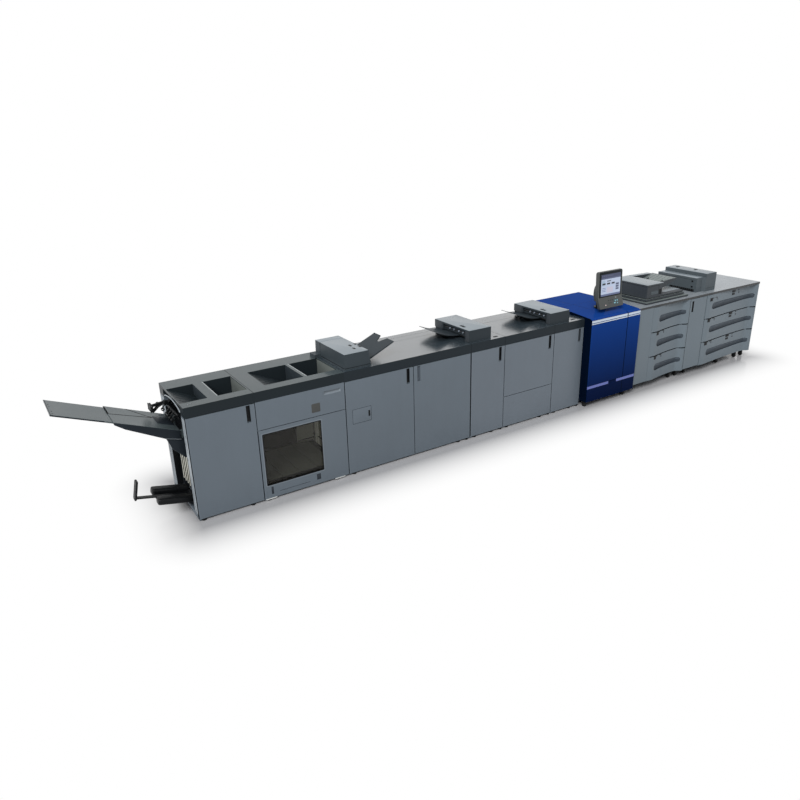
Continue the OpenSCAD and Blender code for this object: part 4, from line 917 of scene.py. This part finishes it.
# the engine's lower cover, the notch between its pale strips, the seams and hatch on its top, and a side
# cover on the part that stands in front of its neighbours
def addEngine():
    (left, front, _), (right, back, top) = boxOf("engine_cabinet")
    trim, width = boxOf("engine_trim")[1][1], engine["seamWidth"]
    x, z = engine["lowerPanel"]
    buildPiece("engine_lower_cover", "blue_gloss", [slab(x, trim, z, 3.0, 5, 2.0)], "deepBlue")
    (a, b), (z0, z1) = engine["notch"]
    notch = dish(spot((a + b) / 2, trim, (z0 + z1) / 2), b - a, z1 - z0, 3.2, 3, 0.6, 5)
    buildPiece("engine_notch", "black_plastic", [notch], "deepBlue")
    x, z = engine["gap"]
    buildPiece("engine_strip_gap", "black_plastic", [slab(x, trim, z, 1.0, 1.5, 0.8)])
    y, x = engine["topSeam"], left + engine["seamFromLeft"]
    darkPiece("engine_top_seams", [line((left + 3, y, top), (right - 3, y, top), upward, width),
                                   line((x, 205, top), (x, back - 4, top), upward, width)])
    x, y, w, h = engine["topHatch"]
    buildPiece("engine_top_hatch", "blue_gloss", [pad(spot(x, y, top), w, h, 0.6, 6, 0.5, *onTop)])
    buildPiece("engine_side_cover", "blue_gloss",
               [slab(left, (front + 4, -8), engine["sideCover"], 0.9, 4, 0.8, onLeft)], "deepBlue")


addEngine()

panel = {
    "foot": 112.0, "footOut": 43.0, "height": 300.0, "lean": 15.0, "thickness": 42.0, "corner": 15.0,
    "screenLeft": 42.0, "screenRight": 30.0,
    "screenFoot": 22.0, "screenTop": 34.0, "hump": 46.0, "vents": 10, "field": (0.72, 0.53, 96.0, 72.0),
    "keys": {
        "cyan": ("keyCyan", (0.70, 0.42, 17, 17), (0.78, 0.40, 13, 17), (0.66, 0.62, 26, 14),
                 (0.77, 0.66, 14, 12)),
        "pale": ("framePaint", (0.74, 0.12, 15, 11)),
        "rose": ("keyRose", (0.27, 0.70, 16, 12)),
        "dark": ("blackPlastic", (0.50, 0.30, 12, 8), (0.58, 0.30, 12, 8), (0.42, 0.30, 12, 8),
                 (0.50, 0.55, 12, 8), (0.42, 0.55, 12, 8)),
    },
}


# the operator panel: a bent side view with rounded corners carried across, a housing behind it, a glowing
# display under a thin bezel, and keys on the lower part
def addPanel():
    p = panel
    (left, near, _), (right, _, top) = boxOf("operator_panel")
    full, lean, foot, out, t = p["height"], p["lean"], p["foot"], p["footOut"], p["thickness"]
    middleX, wide, knee, y = (left + right) / 2, right - left, top - full, near + out
    turn, s = np.linspace(0, np.pi / 2, 6), np.linspace(0, 1, 22)
    sin, cos = np.sin(turn), np.cos(turn)
    corners = [(y + lean + 8 - 8 * cos, top - 8 + 8 * sin), (y + lean + t - 14 + 14 * sin, top - 14 + 14 * cos),
               ([y + t], [knee - 4]), (y - out + t - 14 + 14 * cos, knee - foot + 6 - 14 * sin),
               (y - out + 9 - 8 * sin, knee - foot + 4 - 8 * cos)]
    outline = np.concatenate([[(y, knee)], *(np.stack(corner, -1) for corner in corners)])
    humpY, humpZ = y + t - 10 + p["hump"] * np.sin(np.pi * s) ** 0.3, knee - 40 + 200 * s
    neck = roundedOutline(40, 40, 6)
    shell = [
        bar(spot(left, outline[:, 0], outline[:, 1]), (wide, 0, 0), p["corner"]),
        bar(spot(left + 5, humpY, humpZ), (wide - 10, 0, 0), 14),
        rod(spot(middleX + np.array([-40, -38, 38, 40]), y + t + 30, knee - 12), [17, 20, 20, 17], 28),
        bar(spot(middleX - 40, y + t + 6 + neck[:, 0], knee - 12 + neck[:, 1]), (80, 0, 0), 3)]
    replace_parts(buildPiece("panel_shell", "screen_plastic", shell, None, "operator_panel"), "operator_panel")
    buildPiece("panel_vents", "black_plastic",
               [pad(spot(left + 110 + 165 * (i % 2), y + t - 10.4 + p["hump"], knee + 48 + 12 * (i // 2)), 120,
                    4, 0.5, 1.8, 0.4, -across)
                for i in range(p["vents"])], None, "operator_panel")
    up = np.array([0, lean, full]) / np.hypot(lean, full)
    width, height = wide - p["screenLeft"] - p["screenRight"], full - p["screenFoot"] - p["screenTop"]
    on = lambda x, z: spot(x, y + lean * z / full, knee + z)
    middle = on(left + p["screenLeft"] + width / 2, p["screenFoot"] + height / 2)
    frameEdge = pad(on(middleX + 2, 152), wide - 24, 288, 0.8, 9, 0.7, across, up)
    buildPiece("screen_frame", "black_plastic", [frameEdge], "frameGloss", "operator_panel")
    buildPiece("screen_bezel", "black_plastic", [], "frameGloss", "operator_panel",
               [band(middle, width + 10, height + 10, 6, 5.5, 1.9, across, up)])
    buildPiece("screen_glass", "screen_plastic", [pad(middle, width, height, 1.3, 3, 0.5, across, up)],
               "displayPicture", "operator_panel")
    up = np.array([0, out, foot]) / np.hypot(out, foot)
    below = lambda share, down: spot(left + share * wide, y - out * down, knee - foot * down)
    for tone, (finish, *keys) in p["keys"].items():
        solids = [pad(below(share, down), w, h, 1.8, 3, 1.2, across, up) for share, down, w, h in keys]
        buildPiece(f"panel_keys_{tone}", "screen_plastic", solids, finish, "operator_panel")
    share, down, w, h = p["field"]
    buildPiece("key_field", "screen_plastic", [pad(below(share, down), w, h, 0.7, 9, 0.6, across, up)],
               "keyField", "operator_panel")


addPanel()
print("engine and operator panel dressed")

scanner = {"block": (20.0, 0.0, 40.0), "plate": (50.0, 38.0, 22.0), "depth": 679.0, "lid": (29.0, 542.0, 7.5),
           "leaf": (5958.0, 300.0),
           "guides": (215.0, 425.0), "ribs": 7, "backing": (560.0, 440.0)}
feeder = {"rollerBlock": 270.0, "tray": 397.0, "front": 26.0}


# the scanner's base: pale ledges on its lower block and on its plate, and a dark line round the lower block
def addScanner():
    (left, front, foot), (right, _, _) = boxOf("scanner_base")
    middle, wide, deep = (left + right) / 2, right - left, scanner["depth"]
    for name, (height, step, rim) in (("scanner_ledge", scanner["block"]),
                                      ("scanner_plate_rim", scanner["plate"])):
        buildPiece(name, "scanner_plastic", [], "ledgeGrey", "root", [
            band(spot(middle, front + step + (deep - step) / 2, foot + height), wide - 2 * step - 3,
                 deep - step - 3, 5, rim, 0.9, *onTop)])
    darkPiece("scanner_foot_line", [], "root",
              [band(spot(middle, front + deep / 2, foot + 2), wide + 1, deep + 1, 5, 4, 2.2, *onTop, 1.5)])


def addFeeder():
    def add(name, solids, finish=None, slot="scanner_plastic"):
        buildPiece(name, slot, solids, finish, "document_feeder")

    (left, near, foot), (right, far, top) = boxOf("document_feeder")
    split, front = left + feeder["rollerBlock"], feeder["front"]
    # the lid: a crowned sheet, highest along its middle, over the roller block
    u, v = gridOf(29, 33)
    start, deep, rise = scanner["lid"]
    x, y = left + 3 + u * (split + 20 - left) + 0 * v, start + v * deep + 0 * u
    crown = rise * (1 - (2 * u - 1) ** 6) * (1 - (2 * v - 1) ** 8)
    add("feeder_lid", [blanket(spot(x, y, top + crown), spot(x, y, top - 3))], "lidGrey")
    add("feeder_seams", [line((left, 40, top - 20), (left, 560, top - 20), -across, 3, 0.5),
                         line((left + 4, front, top - 20), (split - 60, front, top - 20), -backward, 3, 0.5),
                         line((split - 66, front, foot + 6), (split - 66, front, top - 22), -backward, 3,
                              0.5)], "seamBlack")
    add("feeder_insert", [dish(spot(left + 137, front, foot + 58), 128, 42, 3, 4, 1.5, 8)], "bypassPlastic")
    add("feeder_mouth", [dish(spot(split - 32, front, foot + 60), 44, 62, 2.6, 3, 0.5, 6)], None,
        "black_plastic")
    # the paper tray's sheet, two guides and ribs, lying on its slope
    trayLow, trayEnd = foot + 50, split + feeder["tray"]
    slope = (top - 4 - trayLow) / (trayEnd - split)
    on = lambda x, y, rise=0.0: spot(x, y, trayLow + (x - split) * slope + rise)
    normal, along = [np.array(way) / np.hypot(slope, 1) for way in ((-slope, 0, 1), (1, 0, slope))]
    add("tray_sheet", [pad(on(split + 206, 315), 372, 362, 1.6, 8, 1.2, along, backward)], "ledgeGrey")
    rail = np.array([[0, 0, 0], [0, 0, 0], [0, 0, 17], [0, 0, 17]]) / 1000
    guides = [bar(on(split + 60, np.array([-3, 3, 3, -3]) + y) + rail, along * 190, 2.5)
              for y in scanner["guides"]]
    guides += [pad(on(split + 155, y, 1.6), 192, 26, 2.0, 6, 1.2, along, backward) for y in (203, 437)]
    add("tray_guides", guides)
    add("tray_ribs", [strip(on(split + 30, y, 1.6), on(trayEnd - 24, y, 1.6), normal, 4, 1.4)
                      for y in np.linspace(160, 475, scanner["ribs"])], "bypassPlastic")
    # the pale top of the cheek behind the tray, and the leaf where sheets come out, bowed up as a half sine
    fall = np.array([trayEnd - split, 0, -10.0])
    add("tray_cheek_cap", [pad(spot((split + trayEnd) / 2 + 12, 537, top - 5.3), trayEnd - split - 34,
                               70, 1.6, 5, 1.2,
                               fall / np.linalg.norm(fall), backward)], "lidGrey")
    u, v = gridOf(21, 21)
    x, y = scanner["leaf"][0] + u * scanner["leaf"][1] + 0 * v, 90 + v * 300 + 0 * u
    add("feeder_exit_leaf", [blanket(spot(x, y, foot + 17.5 + 2.5 * np.sin(np.pi * u)),
                                     spot(x, y, foot + 15.5))], "lidGrey")
    # the pale backing under the feeder, which presses a sheet on the glass
    place = spot((left + right) / 2 - 10, (near + far) / 2, foot)
    add("feeder_backing", [pad(place, *scanner["backing"], 2.0, 10, 1.5, across, -backward)], "palePlastic")


bypass = {"step": 138.0, "lowTop": 180.0, "slot": (245.0, 21.0, 362.0, 32.0), "teeth": 12,
          "catches": ((98, 1180), (98, 1110), (487, 1185)), "knobs": (252, 523)}


# the bypass unit: lids, the feed slot on its left face, its catches and knobs
def addBypass():
    (left, front, foot), (right, back, top) = boxOf("bypass_unit")
    step, lowTop = left + bypass["step"], foot + bypass["lowTop"]
    buildPiece("bypass_lids", "scanner_plastic", [
        slab((left + 4, step - 4), (43, 613), lowTop, 2.5, 8, 2.2, onTop),
        slab((step + 2, right - 2), (front + 3, back - 3), top, 2.5, 8, 2.2, onTop)], "lidGrey")
    y, z, wide, tall = bypass["slot"]
    buildPiece("bypass_slot", "black_plastic",
               [dish(spot(left, y, foot + z), wide, tall, 2.5, 3, 0.5, 5, leftward)])
    buildPiece("bypass_slot_teeth", "dark_metal",
               [rod(spot(left - np.array([0.5, 3.0, 3.0, 0.5]), y, foot + np.array([9, 13, 29, 33])), 2.2, 8)
                for y in np.linspace(80, 410, bypass["teeth"])])
    catches = [pad(spot(left, y, z), 26, 22, 3.5, 9, 2.0, leftward) for y, z in bypass["catches"]]
    buildPiece("bypass_catches", "black_plastic",
               catches + [pad(spot(step + 120, y, top + 2), 60, 26, 5, 6, 3, *onTop) for y in bypass["knobs"]])
    buildPiece("bypass_seams", "scanner_plastic", [
        line((left, 60, lowTop - 26), (left, 600, lowTop - 26), -across, 2.5, 0.4),
        line((step + 6, front, foot + 40), (right - 6, front, foot + 40), -backward, 2.5, 0.4)], "seamBlack")


addScanner()
addFeeder()
addBypass()
print("scanner dressed")

drawers = {
    "dish": 46.0, "ridge": 8.0, "ridgeAt": 90.0, "returnFrom": 112.0, "endFlat": 12.0, "scoop": 20.0,
    "gripLeft": 114.0, "gripRight": 44.0,
    "radii": (44.0, 29.0), "liningRise": 3.0, "marks": {"feed_a": (118.0, 245.0), "feed_b": (84.0, 198.0)},
    "stackAt": 602.0,
}
drawerNodes = [[f"feed_{unit}_drawer_{index}" for index in (1, 2, 3)] for unit in "ab"]
feedFront = boxOf("feed_a_door")[0][1]


# how far a drawer front is set back at a distance from its left end: a ridge, a long quarter sine, a short
# cosine back
def setBack(d, width):
    ridge, flat = drawers["ridge"], drawers["endFlat"]
    ridgeAt, home, deepest = drawers["ridgeAt"], drawers["returnFrom"], drawers["dish"]
    rise = -ridge * np.sin(np.pi / 2 * np.clip((d - flat) / (ridgeAt - flat), 0, 1))
    fall = -ridge + (deepest + ridge) * np.sin(np.pi / 2 * (d - ridgeAt) / (width - home - ridgeAt))
    back = deepest * (1 + np.cos(np.pi * np.clip((d - width + home) / (home - flat), 0, 1))) / 2
    return np.where(d < ridgeAt, rise, np.where(d < width - home, fall, back))


# painted shadow: a dark bead along a drawer front's upper or lower edge, a thin rectangle carried along the
# front's own curve
def edgeShadowBead(low, high, z, height):
    d = np.linspace(2, high[0] - low[0] - 2, 90)[:, None]
    face = feedFront + setBack(d, high[0] - low[0])
    return spot(low[0] + d, face + np.array([-0.5, -0.5, 3, 3]), z + np.array([0, height, height, 0]))


for unitNodes in drawerNodes:
    for node in unitNodes:
        low, high = boxOf(node)
        shadowBeads = [] if node == unitNodes[0] else [edgeShadowBead(low, high, high[2] - 4.0, 3.8)]
        shadowBeads += [] if node == unitNodes[-1] else [edgeShadowBead(low, high, low[2] + 0.2, 2.2)]
        darkPiece(f"{node}_beads", shadowBeads, node)


# a lining for the long grip: columns run along the pill-shaped outline, whose half height is a circle at
# each end and a straight taper between; its floor follows the front and carries a soft wavy ridge
def addDrawerGrip(node):
    low, high = boxOf(node)
    width, middle, (big, small) = high[0] - low[0], (low[2] + high[2]) / 2, drawers["radii"]
    left, right = drawers["gripLeft"] + big, width - drawers["gripRight"] - small
    turn = np.linspace(0, np.pi / 2, 12)
    d = np.concatenate([left - big * np.cos(turn), np.linspace(left, right, 50)[1:-1],
                        right + small * np.sin(turn)])[:, None]
    half = np.concatenate([big * np.sin(turn), np.linspace(big, small, 50)[1:-1], small * np.cos(turn)])
    half = np.maximum(half - 0.4, 0.05)[:, None]
    v = np.linspace(-1, 1, 19)[None, :]
    wave = 7.0 * np.exp(-((v - 0.28) / 0.3) ** 2) * (0.62 + 0.38 * np.sin(d / width * 22.0 + 1.0))
    wave = wave * np.clip(half / 20 - 0.3, 0, 1)
    side = 15.0 * np.abs(v) ** 8 * np.clip(half / 12, 0, 1)
    nearer = drawers["liningRise"] * np.clip((d - left) / (right - left), 0, 1)
    depth = feedFront + setBack(d, width) + drawers["scoop"] - 0.6 - nearer
    x, z = low[0] + d, middle + v * half
    # its finish is painted shade: darker than the front, and darkest below the grip's middle
    buildPiece(f"{node}_grip_lining", "feed_paint",
               [blanket(spot(x, depth - wave - side, z), spot(x, depth + 0.3 + 0 * v, z))],
               "gripDark", node)


# blank dark plates on a drawer's front: each row is place, height, width, height of the plate and its corner
def addDrawerMarks(node, first, stacked):
    low, high = boxOf(node)
    width = high[0] - low[0]
    square, hook = drawers["marks"][node[:6]]
    top = high[2] - (26 if first else 12)
    upper = top - 16 if first else top + 7

    # a plate that lies along the front's own slope at its place, seated where the front stands out most
    def mark(at, z, wide, tall, corner=2.0):
        along = np.linspace(-0.5, 0.5, 9)
        face = feedFront + setBack(at + along * wide, width)
        fall = face[-1] - face[0]
        way = np.array([wide, fall, 0.0]) / math.hypot(wide, fall)
        return pad(spot(low[0] + at, (face - along * fall).min(), z), wide, tall, 0.8, corner, 0.5, way, sink=2)

    rows = [(square, upper - 19, 52, 42, 3.0), (square + 40, upper - 4, 30, 8), (hook - 12, upper - 4, 44, 8),
            (hook + 12, upper - 19, 13, 38)]
    if stacked:
        at = drawers["stackAt"]
        rows += [(at, top - 6, 84, 27, 4.0), (at - 4, top - 42, 66, 27, 4.0), (at + 118, top - 2, 18, 17),
                 (at + 124, top - 37, 20, 17)]
    buildPiece(f"{node}_marks", "black_plastic", [mark(*row) for row in rows], None, node)


for unitNodes in drawerNodes:
    for node in unitNodes:
        addDrawerGrip(node)
        if node != "feed_a_drawer_1":
            addDrawerMarks(node, node == unitNodes[0], node.startswith("feed_b"))


# painted shade in the gaps between the drawers: black seals that follow their fronts a little way in
def addGapShadeSeals():
    solids = []
    for unitNodes in drawerNodes:
        for upper, lower in zip(unitNodes, unitNodes[1:]):
            (low, high), below = boxOf(upper), boxOf(lower)[1][2]
            width = high[0] - low[0]
            d = np.linspace(-4, width - 1, 90)[:, None]
            section = np.array([(0, 0.4), (0, 5.6), (8, 5.6), (8, 0.4)]) * (1, (low[2] - below) / 6)
            solids.append(spot(low[0] + d, feedFront + setBack(d, width) + 0.8 + section[:, 0],
                               below + section[:, 1]))
    darkPiece("drawer_seals", solids)


addGapShadeSeals()
# the feed unit's door has its grip by its left edge
addGrip("feed_a_door", boxOf("feed_a_door")[0][0] + 32.0, boxOf("feed_a_cabinet")[1][2] - 33.0, 140.0, 7.0,
        mirrored=True, curled=False)
print("feed units dressed")

edgeShadeSeals = {
    "doors": ("finisher_door", "stacker_door", "binder_door_left", "binder_door_right", "relay_a_door",
              "folder_door", "relay_b_door", "feed_a_door"),
    "panels": ("stacker_upper_panel", "folder_lower_panel"), "rise": 0.5, "shy": 9.0,
    "inset": 0.4, "depth": 21.0,
    "foot": 17.0, "head": 948.0, "feedHead": 1017.0, "folderLift": 12.0, "endGap": 30.0,
}


# painted shade in the gaps: dark seals on the left edges of doors and fixed panels, and on the upper edges under
# another panel
def addEdgeShadeSeals():
    rise, depth = edgeShadeSeals["rise"], edgeShadeSeals["depth"]
    for node in edgeShadeSeals["doors"] + edgeShadeSeals["panels"]:
        (left, front, low), (right, _, high) = boxOf(node)
        foot, head = max(low, edgeShadeSeals["foot"]), min(high, edgeShadeSeals["feedHead" if "feed" in node else "head"])
        head = stacker["doorTop"] if node == "stacker_door" else head
        foot += edgeShadeSeals["folderLift"] if node == "folder_door" else 0
        middle, length = front + edgeShadeSeals["inset"] + depth / 2, head - foot - edgeShadeSeals["shy"]
        solids = [pad(spot(left, middle, (foot + head) / 2), depth, length, rise, 1, 0.4, leftward)]
        if node in ("stacker_door", "folder_lower_panel"):
            length = right - left - 2 * edgeShadeSeals["endGap"]
            solids.append(pad(spot((left + right) / 2, middle, head), length, depth, rise, 1, 0.4, *onTop))
        darkPiece(f"{node}_edge_shade_seals", solids, node if node in edgeShadeSeals["doors"] else "root")


backs = {
    "modules": ("finisher", "stacker", "binder", "relay_a", "folder", "relay_b", "feed_a", "feed_b"),
    "inset": 14.0, "foot": 26.0, "head": 16.0, "rise": 2.2, "split": 0.64, "widest": 760.0, "gap": 4.0,
    "louvreWidth": 110.0, "louvrePitch": 19.0, "louvreRows": 8, "screwWidth": 10.0, "screwInset": 15.0,
    "sockets": ("finisher", "binder", "folder", "feed_b"), "joints": (594, 1451, 2904, 3347, 4049),
    "feedJoint": 6587.6,
}


# round-headed screws: a low dome for each place
def addScrews(name, places, along):
    size = backs["screwWidth"]
    buildPiece(name, "dark_metal", [pad(place, size, size, 1.5, size / 2 - 0.1, 1.3, along, upward, 0.2)
                                    for place in places], "steel")


# louvres: each is a hood pressed outwards, a quarter circle in its side view, over a dark slot
def louvres(x, y, top, rows, width):
    turn = np.linspace(0.0, np.pi / 2, 6)
    hoods, slots = [], []
    for z in top - np.arange(rows) * backs["louvrePitch"]:
        out = np.concatenate([y + 5.5 * np.sin(turn), [y - 1.0, y - 1.0]])
        rise = np.concatenate([z + 6.5 * np.cos(turn), [z, z + 6.5]])
        hoods.append(bar(spot(x - width / 2, out, rise), (width, 0, 0), 2.5))
        slots.append(pad(spot(x, y, z - 2.6), width - 6, 5, 0.3, 1.5, 0.2, -across))
    return hoods, slots


# each module's back: removable panels with screws and louvres high on each; cable plates low on four of them
def addBacks():
    b = backs
    rise, inset = b["rise"], b["screwInset"]
    for unit in b["modules"]:
        (start, _, low), (end, back, high) = boxOf(f"{unit}_cabinet")
        panels, heads, hoods, slots = [], [], [], []
        edges = np.linspace(start + b["inset"] / 2, end - b["inset"] / 2,
                            max(1, round((end - start) / b["widest"])) + 1)
        foot, head = low + b["foot"], high - b["head"]
        seam = foot + (head - foot) * b["split"]
        for left, right in zip(edges[:-1], edges[1:]):
            middle, width = (left + right) / 2, right - left - b["inset"]
            for z0, z1 in ((foot, seam - b["gap"]), (seam + b["gap"], head)):
                panels.append(pad(spot(middle, back, (z0 + z1) / 2), width, z1 - z0, rise, 6, 1.6, -across))
                heads += [spot(middle + s * (width / 2 - inset), back + rise, z) for s in (-1, 1)
                          for z in (z0 + inset, z1 - inset)]
            more = louvres(middle, back + rise, head - 60, b["louvreRows"],
                           min(b["louvreWidth"] * 2, width - 120))
            hoods, slots = hoods + more[0], slots + more[1]
        buildPiece(f"{unit}_back_panels", "panel_paint", panels, "backPaint")
        addScrews(f"{unit}_back_screws", heads, -across)
        buildPiece(f"{unit}_back_louvres", "panel_paint", hoods, "backPaint")
        darkPiece(f"{unit}_back_slots", slots)
    # sockets and cable plates low on four of the modules
    ends = [boxOf(f"{unit}_cabinet") for unit in b["sockets"]]
    places = [spot(high[0] - 120, high[1] + rise, low[2] + 110) for low, high in ends]
    plates = [dish(place, 120, 84, 3.0, 5, 1.0, 8, -across) for place in places]
    buildPiece("back_socket_plates", "dark_metal", plates)
    places = [place + np.array([dx, 0.9, 0]) / 1000 for place in places for dx in (-26, 26)]
    sockets = [dish(place, 34, 30, 4.0, 5, 1.2, 5, -across) for place in places]
    buildPiece("back_sockets", "black_plastic", sockets)
    # dark joints between neighbouring modules, on the backs and across the feed units' board
    joints = [line((x, 736, 30), (x, 736, 940), backward, 5, 0.4) for x in b["joints"]]
    x = b["feedJoint"]
    darkPiece("module_joints", [*joints, line((x, 700, 110), (x, 700, 1000), backward, 5, 0.4),
                                line((x, -84, 1045), (x, 698, 1045), upward, 3, 0.3)])


engineBack = {"fan": (4740.0, 850.0, 62.0), "fanGap": 40.0, "rings": (1.0, 0.72, 0.44), "spokes": 12,
              "seams": (4905.0, 560.0, 1040.0),
              "inlet": (5200.0, 170.0), "flush": 0.35}


# the engine's back is flush: seams, two fan grilles of rings and spokes, and a power inlet, all within its
# own plane
def addEngineBack():
    e = engineBack
    flush, (left, _, _), (right, back, _) = e["flush"], *boxOf("engine_cabinet")
    y, (x, z, top), (fanX, fanZ, radius) = back - flush, e["seams"], e["fan"]
    darkPiece("engine_back_seams", [line(start, end, backward, 3.5, flush) for start, end in (
        ((left + 20, y, z), (right - 20, y, z)), ((x, y, 90), (x, y, z)),
        ((left + 20, y, top), (right - 20, y, top)))])
    hubs = [spot(x, y, fanZ) for x in (fanX, fanX + 2 * radius + e["fanGap"])]
    darkPiece("engine_fan_grounds", [pad(hub, 2 * radius, 2 * radius, flush * 0.6, radius - 0.1, 0.1, -across)
                                     for hub in hubs])
    loops = [band(hub, 2 * r, 2 * r, r - 0.1, 3.5, flush, -across) for hub in hubs
             for r in np.array(e["rings"]) * radius]
    ways = [np.array([math.cos(turn), 0.0, math.sin(turn)]) / 1000
            for turn in np.arange(e["spokes"]) * 2 * np.pi / e["spokes"]]
    spokes = [strip(hub + way * 8, hub + way * (radius - 2), backward, 2.2, flush) for hub in hubs
              for way in ways]
    buildPiece("engine_fan_grilles", "dark_metal", spokes, loops=loops)
    x, z = e["inlet"]
    buildPiece("engine_inlet", "black_plastic", [pad(spot(x, y, z), 62, 46, flush, 6, 0.3, -across)])
    places = [spot(at, y, z) for at in (left + 34, x - 66, right - 34) for z in (104, 540, 580, 1024)]
    heads = [pad(place, 9, 9, flush, 4.4, 0.3, -across) for place in places]
    buildPiece("engine_back_screws", "dark_metal", heads, "steel")


rightEnd = {"panel": (20.0, 690.0, 112.0, 1004.0), "rise": 1.8, "seam": 560.0,
            "grab": (355.0, 620.0, 190.0, 44.0)}


# the right end: two covers with screws, and a dished handhold
def addRightEnd():
    x, rise, seam = boxOf("feed_b_cabinet")[1][0], rightEnd["rise"], rightEnd["seam"]
    front, back, foot, head = rightEnd["panel"]
    covers = [slab(x, (front, back), z, rise, 6, 1.4, onRight) for z in ((foot, seam - 4), (seam + 4, head))]
    buildPiece("right_end_covers", "feed_paint", covers)
    places = [spot(x + rise, y, z) for y in (front + 16, back - 16)
              for z in (foot + 16, seam - 20, seam + 20, head - 16)]
    addScrews("right_end_screws", places, backward)
    y, z, width, height = rightEnd["grab"]
    buildPiece("right_end_handhold", "black_plastic",
               [dish(spot(x + rise, y, z), width, height, 3.2, 6, 0.8, 16, backward)])


unitBacks = {
    "inset": 12.0, "rise": 1.6,
    "covers": {"inserter_1": (inserterOne["tray"], inserterOne["foot"]), "inserter_2": (0.0, 0.0),
               "inserter_3": (0.0, 0.0)},
}


# covers on the backs of the units that stand on the decks
def addUnitBacks():
    rise, inset = unitBacks["rise"], unitBacks["inset"]
    for node, (skipLeft, skipRight) in unitBacks["covers"].items():
        (left, _, bottom), (right, back, top) = boxOf(node)
        left, right, bottom, top = left + skipLeft + inset, right - skipRight - inset, bottom + 16, top - 14
        buildPiece(f"{node}_back_cover", "cover_plastic",
                   [slab((left, right), back, (bottom, top), rise, 6, 1.2, onBack)], "unitPlastic")
        places = [spot(x, back + rise, z) for x in (left + 12, right - 12) for z in (bottom + 12, top - 12)]
        addScrews(f"{node}_back_screws", places, -across)
    (left, front, foot), (right, back, top) = boxOf("bypass_unit")
    buildPiece("bypass_back_cover", "scanner_plastic", [
        slab((left + bypass["step"], right), back, (foot + 4, top - 4), rise, 6, 1.2, onBack, 26),
        slab(right, (front, back), (foot, top), 1.4, 6, 1.0, onRight, 40)], "bypassPlastic")


addEdgeShadeSeals()
addBacks()
addEngineBack()
addRightEnd()
addUnitBacks()
print("backs and ends dressed")

studio = {
    "cameraPlace": (-4.6355, -5.642, 3.098), "cameraTurn": (68.675, 1.337, -32.627), "lens": 31.2,
    "sensorWidth": 36.0,
    "shift": (-0.0020, -0.0046), "ambient": 0.54, "keyPower": 2.3, "keyTurn": (48.0, 0.0, -52.0),
    "keySoftness": 28.0,
    "floorSize": 30.0, "floorColour": (172, 172, 174), "fadeReach": 0.62,
}
pureWhite = (1.0, 1.0, 1.0, 1.0)


def stageObject(name, data, turn=(0.0, 0.0, 0.0)):
    thing = bpy.data.objects.new(name, data)
    thing.rotation_euler = [math.radians(angle) for angle in turn]
    bpy.context.scene.collection.objects.link(thing)
    return thing


def addCamera():
    data = bpy.data.cameras.new("camera")
    data.lens, data.sensor_width, data.clip_end = studio["lens"], studio["sensorWidth"], 100.0
    data.shift_x, data.shift_y = studio["shift"]
    camera = stageObject("camera", data, studio["cameraTurn"])
    camera.location = studio["cameraPlace"]
    bpy.context.scene.camera = camera


# 1 for rays from the camera, off a mirror or through glass
def seenRays(tree):
    rays = tree.nodes.new("ShaderNodeLightPath").outputs
    camera, mirror, glass = [Wire(tree, rays[f"Is {kind} Ray"]) for kind in ("Camera", "Glossy", "Transmission")]
    return camera + mirror + glass


# a wide soft sun, and a world that is plain grey as a light and white where it is seen or mirrored
def addLight():
    data = bpy.data.lights.new("key", "SUN")
    data.energy, data.angle = studio["keyPower"], math.radians(studio["keySoftness"])
    stageObject("key", data, studio["keyTurn"])
    world = bpy.data.worlds.new("studio")
    bpy.context.scene.world = world
    world.use_nodes = True
    tree = world.node_tree
    background = tree.nodes["Background"].inputs
    tree.links.new(seenRays(tree).ramp(0.0, 1.0, studio["ambient"], 1.0).socket, background["Strength"])
    background["Color"].default_value = pureWhite


# a pale, slightly polished floor that fades to white away from the machine, leaving painted shade round it
def addFloor():
    half = studio["floorSize"]
    mesh = bpy.data.meshes.new("floor")
    mesh.from_pydata([(-half, -half, 0), (half, -half, 0), (half, half, 0), (-half, half, 0)],
                     [], [(0, 1, 2, 3)])
    floor = stageObject("floor", mesh)
    material, shader, place = startMaterial("floor", Specular_IOR_Level=0.5, Roughness=0.16,
                                           Base_Color=tint(studio["floorColour"]))
    tree = place.tree
    # how far a place lies outside the machine's own rectangle on the floor, along each axis and then
    # altogether
    spans = (endLeft, cadBox[1][0]), (cadBox[0][1], cadBox[1][1])
    squares = []
    for axis, (low, high) in enumerate(spans):
        beside = place.maths("ABSOLUTE", place.axis(axis) - (low + high) / 2) - (high - low) / 2
        squares.append(place.maths("POWER", place.maths("MAXIMUM", beside, 0.0), 2.0))
    fade = place.maths("SQRT", squares[0] + squares[1]).ramp(0.0, studio["fadeReach"])
    fade = (2.0 - fade) * fade * seenRays(tree)
    white = place.node("ShaderNodeEmission", {"Color": pureWhite, "Strength": 1.0})
    blend = place.node("ShaderNodeMixShader", {0: fade, 1: Wire(tree, shader.outputs[0]), 2: white})
    tree.links.new(blend.socket, tree.nodes["Material Output"].inputs["Surface"])
    mesh.materials.append(material)


addCamera()
addLight()
addFloor()
bpy.context.scene.view_settings.view_transform = "Standard"
print("studio set")
